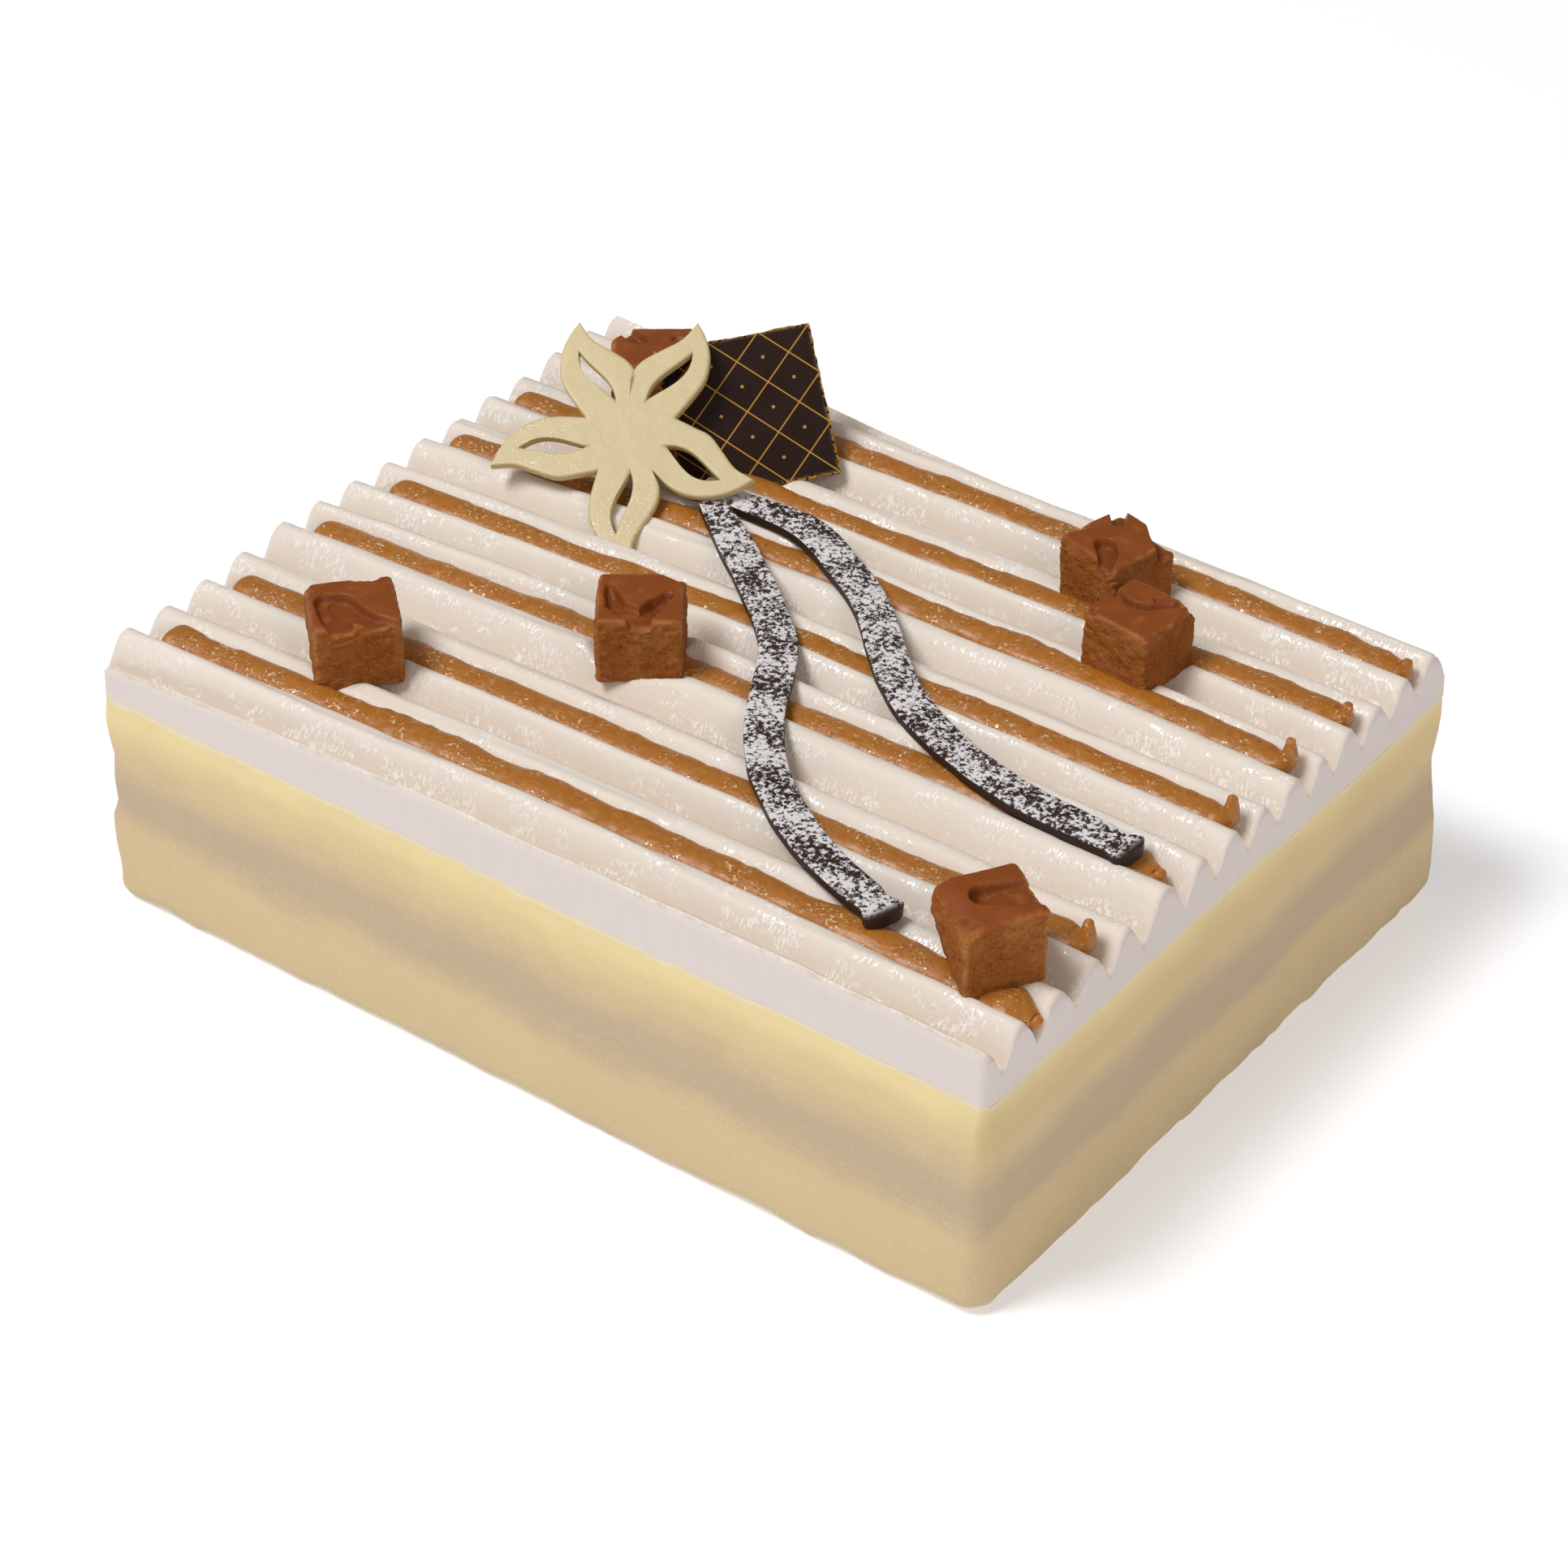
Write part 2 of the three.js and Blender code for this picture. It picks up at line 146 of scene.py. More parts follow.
# Colours down the side, at the middle of each stretch; YELLOW_LOW and YELLOW_FOOT darken it towards the
# table as painted shade
YELLOW_TOP = (0.815, 0.665, 0.345, 1)
YELLOW_UPPER = (0.755, 0.60, 0.305, 1)
YELLOW_MIDDLE = (0.685, 0.53, 0.285, 1)
NUT_TAN = (0.525, 0.408, 0.266, 1)
YELLOW_BASE = (0.64, 0.497, 0.274, 1)
YELLOW_LOW = (0.605, 0.473, 0.264, 1)
YELLOW_FOOT = (0.54, 0.422, 0.265, 1)
COLOUR_STOPS = (
    (0.0, YELLOW_FOOT), (0.08, YELLOW_LOW), (0.25, YELLOW_BASE), (0.33, YELLOW_BASE), (0.41, NUT_TAN),
    (0.56, NUT_TAN), (0.70, YELLOW_MIDDLE), (0.81, YELLOW_UPPER), (0.90, YELLOW_TOP), (1.0, YELLOW_TOP),
)
COLOUR_TOP = 48
# Painted shade: a deeper, darker yellow over the right end's upper part, for the dimmer, warmer light on
# that end
YELLOW_RIGHT_END_SHADE = (0.60, 0.43, 0.19, 1)
# How far under the cream the yellow pales, and the tone it pales to
CROWN = 1.8
CROWN_PALE = (0.80, 0.705, 0.50, 1)
# Fine pale specks all over, and frosty ones on the upper part
CHEESE_SPECK = (1.0, 0.93, 0.72, 1)
FROST_SPECK = (1.0, 0.97, 0.86, 1)
# The lattice hash: a factor for each coordinate and for the seed, then rounds of a shift and a factor
HASH_PLACE = (73856093, 19349663, 83492791)
HASH_SEED = 7919
HASH_ROUNDS = ((15, 2246822519), (13, 3266489917))


def held(value):
    """The value, held between 0 and 1."""
    return np.clip(value, 0, 1)


def eased(part):
    """A part from 0 to 1 that sets off and arrives slowly: three squares less two cubes."""
    return part * part * (3 - 2 * part)


def lumps(x, y, z, size, seed):
    """Smooth noise from -1 to 1: random values on a lattice of cells `size` wide, eased between.

    Each lattice corner's number comes from a hash of its three whole coordinates and the seed.
    """
    place = np.stack(np.broadcast_arrays(x, y, z), -1) / size
    cell = np.floor(place).astype(np.int64)
    part = place - cell
    part = eased(part)
    total = np.zeros(place.shape[:-1])
    for corner in np.ndindex(2, 2, 2):
        key = ((cell + corner) @ np.array(HASH_PLACE) + seed * HASH_SEED).astype(np.uint32)
        for shift, factor in HASH_ROUNDS:
            key = (key ^ (key >> shift)) * np.uint32(factor)
        value = ((key ^ (key >> 16)) & 0xFFFF) / 32767.5 - 1
        total += value * np.prod(np.where(corner, part, 1 - part), -1)
    return total


def grid_faces(rows, columns, ring=False, start=0):
    """Quads between neighbouring points of a grid; a ring joins its last column to its first."""
    index = start + np.arange(rows * columns).reshape(rows, columns)
    if ring:
        index = np.hstack([index, index[:, :1]])
    return np.stack([index[:-1, :-1], index[:-1, 1:], index[1:, 1:], index[1:, :-1]], -1).reshape(-1, 4)


def fan_faces(rim, middle):
    """Triangles from each step of a closed rim to one middle point."""
    return np.stack([rim, np.roll(rim, -1), np.full(len(rim), middle)], -1)


def tube_faces(rows, sides):
    """Quads along a tube's rings, and a fan over each end from the two points that follow the rings."""
    rim = np.arange(sides)
    end = rows * sides
    return [grid_faces(rows, sides, ring=True), fan_faces(rim, end), fan_faces(rim + end - sides, end + 1)]


def make_piece(name, points, faces, material, crease=40, weld=0):
    """A mesh piece from points in millimetres: doubles welded, faces turned outwards, creases kept sharp."""
    mesh = bpy.data.meshes.new(name)
    mesh.from_pydata((np.asarray(points) * MM).tolist(), [], [f for block in faces for f in block.tolist()])
    shape = bmesh.new()
    shape.from_mesh(mesh)
    if weld:
        bmesh.ops.remove_doubles(shape, verts=shape.verts, dist=weld * MM)
    bmesh.ops.recalc_face_normals(shape, faces=shape.faces)
    shape.to_mesh(mesh)
    shape.free()
    mesh.shade_smooth()
    mesh.set_sharp_from_angle(angle=math.radians(crease))
    mesh.materials.append(material)
    piece = bpy.data.objects.new(name, mesh)
    bpy.context.scene.collection.objects.link(piece)
    return piece


def paint(piece, name, values):
    """Gives each point of a piece a number, which its finish reads by that name."""
    numbers = piece.data.attributes.new(name, "FLOAT", "POINT").data
    numbers.foreach_set("value", np.asarray(values, np.float32))


class Wire:
    """A shader socket to write formulas with: + - * / ** on it add Math nodes, and node() adds any other."""

    def __init__(self, tree, socket=None):
        self.tree = tree
        self.socket = socket

    def node(self, kind, settings, sockets, result=None):
        """Adds a node: its settings first, then numbers, colours or wires into its sockets by identifier."""
        added = self.tree.nodes.new("ShaderNode" + kind)
        for key, value in settings.items():
            if key == "stops":
                while len(added.color_ramp.elements) < len(value):
                    added.color_ramp.elements.new(1)
                for element, (position, colour) in zip(added.color_ramp.elements, value):
                    element.position = position
                    element.color = colour
            else:
                setattr(added, key, value)
        for socket in added.inputs:
            value = sockets.get(socket.identifier)
            if isinstance(value, Wire):
                self.tree.links.new(value.socket, socket)
            elif value is not None:
                socket.default_value = value
        wanted = (s for s in added.outputs if s.enabled and result in (None, s.identifier))
        return Wire(self.tree, next(wanted))

    def maths(self, operation, *values):
        names = ("Value", "Value_001", "Value_002")
        return self.node("Math", {"operation": operation}, dict(zip(names, values)))

    def __add__(self, other):
        return self.maths("ADD", self, other)

    __radd__ = __add__

    def __sub__(self, other):
        return self.maths("SUBTRACT", self, other)

    def __rsub__(self, other):
        return self.maths("SUBTRACT", other, self)

    def __mul__(self, other):
        return self.maths("MULTIPLY", self, other)

    __rmul__ = __mul__

    def __truediv__(self, other):
        return self.maths("DIVIDE", self, other)

    def __pow__(self, other):
        return self.maths("POWER", self, other)


def new_finish(name, **constants):
    """A material whose Principled shader has these constants, and its Object coordinates in millimetres."""
    material = bpy.data.materials.new(name)
    material.use_nodes = True
    shader = material.node_tree.nodes["Principled BSDF"]
    for label, value in constants.items():
        shader.inputs[label.replace("_", " ")].default_value = value
    start = Wire(material.node_tree)
    place = start.node("Mapping", {}, {
        "Vector": start.node("TexCoord", {}, {}, "Object"),
        "Scale": (1000, 1000, 1000),
    })
    return material, place


def feed(material, **wires):
    """Joins wires to the sockets of the material's Principled shader."""
    shader = material.node_tree.nodes["Principled BSDF"]
    for label, wire in wires.items():
        material.node_tree.links.new(wire.socket, shader.inputs[label.replace("_", " ")])


def axis(place, letter):
    """One coordinate of the place."""
    return place.node("SeparateXYZ", {}, {"Vector": place}, letter)


def painted(place, name):
    """The number that was painted on the points under that name."""
    return place.node("Attribute", {"attribute_name": name}, {}, "Fac")


def stretched(place, x, y, z):
    """The place divided by a length on each axis, for patterns longer one way than the other."""
    return place.node("Mapping", {}, {"Vector": place, "Scale": (1 / x, 1 / y, 1 / z)})


def noise(place, size, detail=2.0, roughness=0.5):
    """Smooth noise about 0 to 1 with features of that size in millimetres."""
    sockets = {"Vector": place, "Scale": 1 / size, "Detail": detail, "Roughness": roughness}
    return place.node("TexNoise", {}, sockets, "Fac")


def step(value, low, high):
    """0 below low, 1 above high, eased between."""
    sockets = {"Value": value, "From Min": low, "From Max": high}
    return value.node("MapRange", {"interpolation_type": "SMOOTHSTEP"}, sockets, "Result")


def mix(mask, low, high):
    """Colour low where the mask is 0 and high where it is 1."""
    sockets = {"Factor_Float": mask, "A_Color": low, "B_Color": high}
    return mask.node("Mix", {"data_type": "RGBA"}, sockets, "Result_Color")


def between(mask, low, high):
    """Number low where the mask is 0 and high where it is 1."""
    sockets = {"Factor_Float": mask, "A_Float": low, "B_Float": high}
    return mask.node("Mix", {"data_type": "FLOAT"}, sockets, "Result_Float")


def dots(place, spacing, radius, share):
    """Round specks about one in each cell, of which only a share of the cells keeps its own."""
    sockets = {"Vector": place, "Scale": 1 / spacing}
    distance = place.node("TexVoronoi", {}, sockets, "Distance")
    colour = place.node("TexVoronoi", {}, sockets, "Color")
    chosen = step(colour.node("SeparateColor", {}, {"Color": colour}, "Red"), share + 0.01, share)
    return chosen * step(distance, radius / spacing, radius / spacing * 0.5)


def bumps(height):
    """A Normal for relief whose height is given in millimetres."""
    return height.node("Bump", {}, {"Height": height, "Distance": MM, "Strength": 1.0})


def end_swell(z):
    """How far the left end bellies out at a height: the cube of a sine from the table to the crests."""
    return END_SWELL * np.sin(np.pi * held(z / TOP_Z)) ** 3


def outline(columns, z):
    """Points and outward directions round the block, at heights z and columns numbered by corner.

    A column's whole part is its corner. The first share of its fraction runs round that corner's arc,
    and the rest goes straight on to the next corner. Radius and reach change with height.
    """
    corner = columns.astype(int) % 4
    part = columns % 1
    bend = held(part / CORNER_SHARE)
    run = held((part - CORNER_SHARE) / (1 - CORNER_SHARE))
    out = np.interp(z, SIDE_HEIGHTS, SIDE_OUT)
    right_out = np.interp(z, SIDE_HEIGHTS, RIGHT_OUT)
    radius = np.interp(z, SIDE_HEIGHTS, SIDE_RADIUS)

    def centre(which):
        right = (which == 1) | (which == 2)
        front = which < 2
        x = np.where(right, HALF_LENGTH + right_out, -HALF_LENGTH - out - end_swell(z))
        back = BACK_Y + np.minimum(out, 0.2) - np.where(right, BACK_TAPER * z / TOP_Z, 0)
        y = np.where(front, FRONT_Y - out, back)
        return x - np.where(right, radius, -radius), y - np.where(front, -radius, radius)

    here_x, here_y = centre(corner)
    next_x, next_y = centre((corner + 1) % 4)
    angle = np.pi * (1 + (corner + bend) / 2)
    ahead = (np.cos(angle), np.sin(angle))
    x = here_x + radius * ahead[0] + run * (next_x - here_x)
    y = here_y + radius * ahead[1] + run * (next_y - here_y)
    return x, y, ahead


def seam_height(seam, x, y):
    """Height of the seam over the cake: a slow wave, and small ragged steps."""
    z, swing = SEAMS[seam]
    wave = np.sin(x / SEAM_WAVE[0] + 2 * seam) * np.cos(y / SEAM_WAVE[1] - seam)
    return z + swing * wave + SEAM_RAG * lumps(x, y, 0, 5, 11 + seam)


def unevenness(x, y, z):
    """How far the sides stand out at a place: slow swells that fade out up the cream, and a fine grain."""
    swells = 0.42 * lumps(x, y, z * 2.2, 34, 3) + 0.18 * lumps(x, y, z * 1.5, 11, 4)
    return swells * np.clip(z / 6, 0.3, 1) * held((55 - z) / 14) + 0.05 * lumps(x, y, z, 2.6, 5)


def side_points(columns, z):
    """The block's skin: its outline pushed out by its unevenness, and in where the foot is worn away."""
    x, y, (east, north) = outline(columns, z)
    foot = held(1 - z / 3.2) ** 1.5
    worn = (0.9 + 0.9 * lumps(x, y, 0, 8, 6) + 0.5 * lumps(x, y, 0, 2.8, 7)) * foot
    out = unevenness(x, y, z) - worn
    return np.stack([x + out * east, y + out * north, z], -1)


side_columns = np.concatenate([
    np.concatenate([
        corner + np.linspace(0, CORNER_SHARE, CORNER_COLUMNS, endpoint=False),
        corner + np.linspace(CORNER_SHARE, 1, SIDE_COLUMNS[corner % 2], endpoint=False),
    ])
    for corner in range(4)
])
flat_x, flat_y, _ = outline(side_columns, np.full(len(side_columns), 30.0))


def cheese_layer(name, material, low, high):
    """One closed layer: rows of the block's skin between two seams, and shallow lids under and over."""
    part = np.linspace(0, 1, LAYER_ROWS)[:, None]
    part = eased(part) * 0.3 + part * 0.7
    heights = low + (high - low) * part
    points = side_points(side_columns[None, :], heights)
    tongue = points[-1] * TONGUE_SHRINK + TONGUE_RISE
    count = len(side_columns)
    lids = [(0, 0, low.mean() + LIDS_IN[0]), (0, 0, high.mean() - LIDS_IN[1])]
    everything = np.vstack([points.reshape(-1, 3), tongue, lids])
    piece = make_piece(name, everything, tube_faces(LAYER_ROWS + 1, count), material)
    crown = np.concatenate([held(1 - (high - heights) / CROWN).reshape(-1), np.ones(count + 2)])
    # Only the layer that the cream lies on has a pale crown
    paint(piece, "crown", crown * (high.mean() > SEAMS[2][0] - 1))
    return piece


def cheese_finish(name):
    """Velvety cheese mixture: colours by height over the whole block, so that its layers melt together."""
    material, place = new_finish(name, Specular_IOR_Level=0.35)
    height = axis(place, "Z")
    drift = (noise(place, 26) - 0.5) * 7 + (noise(stretched(place, 1, 1, 0.5), 7) - 0.5) * 2.6
    # The bands darken towards the table: painted shade at the foot
    bands = place.node("ValToRGB", {"stops": COLOUR_STOPS}, {"Fac": (height + drift) / COLOUR_TOP}, "Color")
    cloud = step(noise(stretched(place, 1, 1, 0.6), 14, 3.0), 0.38, 0.68)
    # Painted shade: the right end's upper part deepens to a darker yellow
    right_end_shade = step(axis(place, "X"), 97.5, 99.5) * step(height, 31, 37) * step(height, 46, 39)
    clouded_and_end_shaded = mix(right_end_shade * 0.5, mix(cloud * 0.16, bands, YELLOW_FOOT), YELLOW_RIGHT_END_SHADE)
    speckle = mix(step(noise(place, 0.55, 3.0, 0.7), 0.52, 0.72) * 0.15, clouded_and_end_shaded, CHEESE_SPECK)
    frost = dots(place, 1.2, 0.2, 0.34) * step(height + drift * 0.5, 38, 46)
    crown = painted(place, "crown") + (noise(place, 3.2, 3.0) - 0.5) * 0.9
    paled = mix(step(crown, 0.35, 0.85) * 0.85, speckle, CROWN_PALE)
    feed(
        material,
        Base_Color=mix(frost * 0.3, paled, FROST_SPECK),
        Roughness=0.55 + noise(place, 1.1) * 0.2,
        Normal=bumps(noise(place, 0.45, 2.0, 0.6) * 0.05 + noise(place, 2.4) * 0.10),
    )
    return material


seams = [seam_height(i, flat_x, flat_y)[None, :] for i in range(len(SEAMS))]
table_line = np.zeros_like(seams[0])
for layer, slot, low, high in (
    ("base_layer", "vanilla_cheese", table_line, seams[0]),
    ("middle_layer", "nut_cheese", seams[0], seams[1]),
    ("upper_layer", "vanilla_cheese", seams[1], seams[2]),
):
    piece = cheese_layer(layer + "_skin", cheese_finish(layer), low, high)
    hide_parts(layer)
    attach(piece, "root")

# ---- Piped cream ----
# Whipped cream was piped over the block in long ridges side by side, chilled and cut off flush with the
# sides. The ridges stay wet and full of small ripples across them; the cut sides are dull and drier.
GROOVES = (
    (-84, -82, -81.5), (-74.5, -71.5, -71), (-64.5, -60.5, -61), (-54, -49, -49.5), (-43.5, -41, -39.5),
    (-32.5, -28.5, -29), (-21, -15.5, -16), (-11.5, -5, -6), (-1, 4, 4.5), (9, 14.5, 14.5),
    (19.5, 26, 25), (30.5, 34.5, 33.5), (40.5, 42.5, 43.5), (50.5, 54, 53.5), (61, 63.5, 63),
    (71.5, 73, 73.5), (82, 83, 83.5),
)
CRESTS = (57.3, 57.4, 56.6, 57, 57.3, 58.5, 58, 57.4, 56.6, 57.1, 56.5, 57.1, 56.2, 57.1, 57.4, 57)
GROOVE_Z = 50.6
RIDGE_LEAN = 1.2
RIDGE_FULLNESS = 0.9
RIDGE_CELLS = 20
FRONT_POINTS, BACK_POINTS = 10, 8
CREAM_ROWS = 232
CUT_EDGE = 0.7
CUT_ROWS = 9
CORNER_RADIUS = 1.7
# The cut sides flare a little towards their foot, and then tuck in and down behind the layer below
FOOT_FLARE, TUCK_IN, TUCK_DOWN = 0.12, 0.5, 0.3
UNDERSIDE_IN = 0.4
CREAM_WHITE = (0.785, 0.71, 0.635, 1)
# Painted shade: the darker, warmer tone low in the grooves
CREAM_GROOVE_SHADE = (0.71, 0.61, 0.51, 1)
# Painted highlight: the white that the glints give the base colour
CREAM_PAINTED_GLINT = (0.985, 0.955, 0.925, 1)
CUT_WHITE = (0.72, 0.65, 0.62, 1)
CUT_SCRATCH = (0.86, 0.80, 0.77, 1)
DRAGGED_YELLOW = (0.78, 0.69, 0.50, 1)
CRUMB_LINE = (0.60, 0.51, 0.33, 1)
VANILLA_SPECK = (0.30, 0.22, 0.15, 1)
# The cubes that were set down into the cream: X, Y, Z of the foot's middle, yaw, width, depth, height
CUBES = (
    (-59.2, -50.0, 56.1, 47.7, 16.5, 15.8, 12.9),
    (-17.8, -17.7, 56.6, 35.1, 16.2, 16.4, 12.8),
    (39.9, 52.9, 55.8, 75.5, 15.6, 15.2, 12.4),
    (56.2, 35.4, 55.8, 83, 15, 15, 12.4),
    (85.8, -55.3, 57.2, 58, 15.4, 14.6, 14.4),
    (-70.5, 53.2, 55.8, 37, 16.5, 15, 14.7),
)


def directions(vectors):
    """The vectors, each made one long."""
    return vectors / np.linalg.norm(vectors, axis=1, keepdims=True)


def bell(x, middle, width):
    """A bell curve, 1 high at its middle: the exponential of minus the squared distance in widths."""
    return np.exp(-((x - middle) / width) ** 2)


def groove_y(groove, x):
    """Where a groove runs: a parabola through its three given places, with a slight wander."""
    left, middle, right = np.moveaxis(np.array(GROOVES)[groove], -1, 0)
    t = np.clip(x / 100, -1.1, 1.1)
    wander = 0.28 * lumps(x, groove * 50.0, 0, 23, 21)
    return middle + (right - left) / 2 * t + ((right + left) / 2 - middle) * t * t + wander


def cos_sin(degrees):
    """Cosine and sine of an angle in degrees."""
    return math.cos(math.radians(degrees)), math.sin(math.radians(degrees))


def pressed(x, y, z):
    """The cream's height, but no more than a slope that climbs away from the foot of each cube."""
    for cube_x, cube_y, foot, yaw, width, depth, _ in CUBES:
        cos, sin = cos_sin(yaw)
        along = abs((x - cube_x) * cos + (y - cube_y) * sin) - width / 2
        aside = abs((y - cube_y) * cos - (x - cube_x) * sin) - depth / 2
        away = np.hypot(along.clip(0), aside.clip(0)) + np.minimum(np.maximum(along, aside), 0)
        z = np.minimum(z, foot + 0.2 + 0.8 * away.clip(-1))
    return z


def cream_skin(ridge_place, x):
    """Y and Z of the cream where whole numbers of ridge_place are the grooves and fractions lie between.

    Across a ridge the height follows a sine that leans to the far side, raised to a power that fills it out
    and rounded off in the grooves. Along it the crest rises and falls a little, shallow creases come and go,
    and short ripples run across it.
    """
    ridge = np.clip(np.floor(ridge_place), 0, len(CRESTS) - 1).astype(int)
    part = held(ridge_place - ridge)
    near = groove_y(ridge, x)
    far = groove_y(ridge + 1, x)
    y = near + (far - near) * part
    full = np.hypot(np.sin(np.pi * part ** RIDGE_LEAN).clip(0) ** RIDGE_FULLNESS, 0.05)
    crest = np.array(CRESTS)[ridge] + 0.35 * lumps(x, ridge * 37.0, 0, 27, 22)
    floor = GROOVE_Z + 0.5 * lumps(x, y, 0, 16, 23)
    ripple = 0.07 * lumps(x, y / 3.0, 0, 2.2, 24) + 0.16 * lumps(x, y / 1.6, 0, 7.5, 25)
    crease_at = 0.66 + 0.2 * lumps(x, ridge * 41.0, 0, 45, 28)
    crease = held(lumps(x, ridge * 29.0, 0, 38, 29) + 0.25) * bell(part, crease_at, 0.07)
    return y, pressed(x, y, floor + (crest - floor) * full + ripple * full - 0.6 * crease)


def end_reach(y, radius):
    """Half length of the block at depth y: full, but drawn in round the corners' arcs."""
    over = np.maximum(np.maximum(FRONT_Y + radius - y, y - (BACK_Y - radius)), 0)
    return HALF_LENGTH - radius + np.sqrt(np.maximum(radius ** 2 - over ** 2, 0))


last_ridge = len(CRESTS) - 1
cream_x = np.linspace(-1, 1, CREAM_ROWS)[:, None] * (HALF_LENGTH - CUT_EDGE)
front_part = (FRONT_Y + CUT_EDGE - groove_y(0, cream_x)) / (groove_y(1, cream_x) - groove_y(0, cream_x))
back_line = BACK_Y - CUT_EDGE - BACK_TAPER * (cream_x / HALF_LENGTH + 1) / 2
back_groove = groove_y(last_ridge, cream_x)
back_part = (back_line - back_groove) / (groove_y(last_ridge + 1, cream_x) - back_groove)
whole_ridges = np.arange(1, last_ridge, 1 / RIDGE_CELLS)
ridge_place = np.hstack([
    front_part + (1 - front_part) * np.linspace(0, 1, FRONT_POINTS, endpoint=False)[None, :],
    np.broadcast_to(whole_ridges, (CREAM_ROWS, len(whole_ridges))),
    last_ridge + np.maximum(back_part, 0.01) * np.linspace(0, 1, BACK_POINTS)[None, :],
])
top_y, _ = cream_skin(ridge_place, cream_x)
top_x = cream_x / (HALF_LENGTH - CUT_EDGE) * (end_reach(top_y, CORNER_RADIUS) - CUT_EDGE)
top_y, top_z = cream_skin(ridge_place, top_x)
rows, columns = top_x.shape
number = np.arange(rows * columns).reshape(rows, columns)
rim = np.concatenate([number[:-1, 0], number[-1, :-1], number[:0:-1, -1], number[0, :0:-1]])
cream_top_points = np.stack([top_x, top_y, top_z], -1).reshape(-1, 3)
rim_points = cream_top_points[rim]
along = np.roll(rim_points, -1, 0) - np.roll(rim_points, 1, 0)
outward = directions(np.stack([along[:, 1], -along[:, 0]], -1))
cut_x, cut_y = (rim_points[:, :2] + outward * CUT_EDGE).T
cut_foot = seam_height(2, cut_x, cut_y)
part = np.append(np.linspace(0, 1, CUT_ROWS - 1), 1)[:, None]
cut_z = (rim_points[:, 2] - CUT_EDGE) * (1 - part) + cut_foot * part
swell = end_swell(cut_z) * held(-cut_x / HALF_LENGTH)
scrape = unevenness(cut_x, cut_y, cut_z) + 0.03 * lumps(cut_x, cut_y, cut_z / 3, 1.7, 26) * (1 - part)
# The last ring tucks in behind the layer below, so that no light falls between the two
tuck = np.arange(CUT_ROWS)[:, None] == CUT_ROWS - 1
reach = scrape + np.where(tuck, -TUCK_IN, FOOT_FLARE * part)
cut_points = np.stack([
    cut_x - swell + outward[:, 0] * reach, cut_y + outward[:, 1] * reach, cut_z - TUCK_DOWN * tuck,
], -1).reshape(-1, 3)
first = rows * columns
ring = np.arange(len(rim))
edge = np.stack([rim, np.roll(rim, -1), np.roll(ring, -1) + first, ring + first], -1)
bottom = first + len(cut_points)
cream = make_piece(
    "cream_top_skin",
    np.vstack([cream_top_points, cut_points, [(0, 0, cut_foot.mean() + UNDERSIDE_IN)]]),
    [
        grid_faces(rows, columns),
        edge,
        grid_faces(CUT_ROWS, len(rim), ring=True, start=first),
        fan_faces(ring + first + (CUT_ROWS - 1) * len(rim), bottom),
    ],
    None,
    crease=55,
)
paint(cream, "cut", np.arange(bottom + 1) >= first)

cream_finish, place = new_finish(
    "whipped_cream", Subsurface_Weight=0.2, Subsurface_Scale=0.002, Subsurface_Radius=(1.0, 0.75, 0.5),
    Specular_IOR_Level=0.4, Coat_Roughness=0.08,
)
cut = painted(place, "cut")
height = axis(place, "Z")
# Painted shade: the cream darkens low in the grooves
groove_shade = step(height, 56.0, 51.5)
along_ridges = stretched(place, 2.2, 1.0, 1.0)
wet_patch = step(noise(along_ridges, 3.6, 3.0, 0.6), 0.49, 0.58) * (1 - cut)
wet_patch = wet_patch * between(step(noise(place, 24, 1.0), 0.38, 0.52), 0.5, 1.0)
streaks = noise(stretched(place, 0.5, 1.2, 1.2), 1.0, 3.0, 0.6)
glint_strokes = step(streaks, 0.50, 0.56) * wet_patch
at_front = step(axis(place, "Y"), -72, -75)
crumbs = step(cut * (1 - cut), 0.05, 0.2) * step(noise(place, 3.4, 4.0, 0.7), 0.46, 0.62) * at_front
scratches = noise(stretched(place, 0.7, 0.7, 8.0), 1.0, 2.0)
shaded_ridge_colour = mix(groove_shade * 0.8, CREAM_WHITE, CREAM_GROOVE_SHADE)
dragged = step(height + (noise(place, 2.5) - 0.5) * 1.6, 47.0, 45.6)
tinted = mix(dragged * 0.5, CUT_WHITE, DRAGGED_YELLOW)
cut_colour = mix(step(scratches, 0.4, 0.7) * 0.10, tinted, CUT_SCRATCH)
vanilla = dots(place, 2.4, 0.16, 0.12)
crumbed = mix(crumbs * 0.5, mix(cut, shaded_ridge_colour, cut_colour), CRUMB_LINE)
relief = (streaks - 0.5) * (0.05 + wet_patch * 0.22) + noise(place, 0.7) * 0.02 * (1 - cut)
feed(
    cream_finish,
    # Painted highlight: the glint strokes whiten the base colour, besides adding coat and lowering roughness
    Base_Color=mix(vanilla * 0.5, mix(glint_strokes * 0.85, crumbed, CREAM_PAINTED_GLINT), VANILLA_SPECK),
    Roughness=between(cut, 0.52 - glint_strokes * 0.36, 0.7),
    Coat_Weight=glint_strokes,
    Normal=bumps(relief + scratches * 0.02 * cut),
)
cream.data.materials[0] = cream_finish
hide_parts("cream_top")
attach(cream, "root")

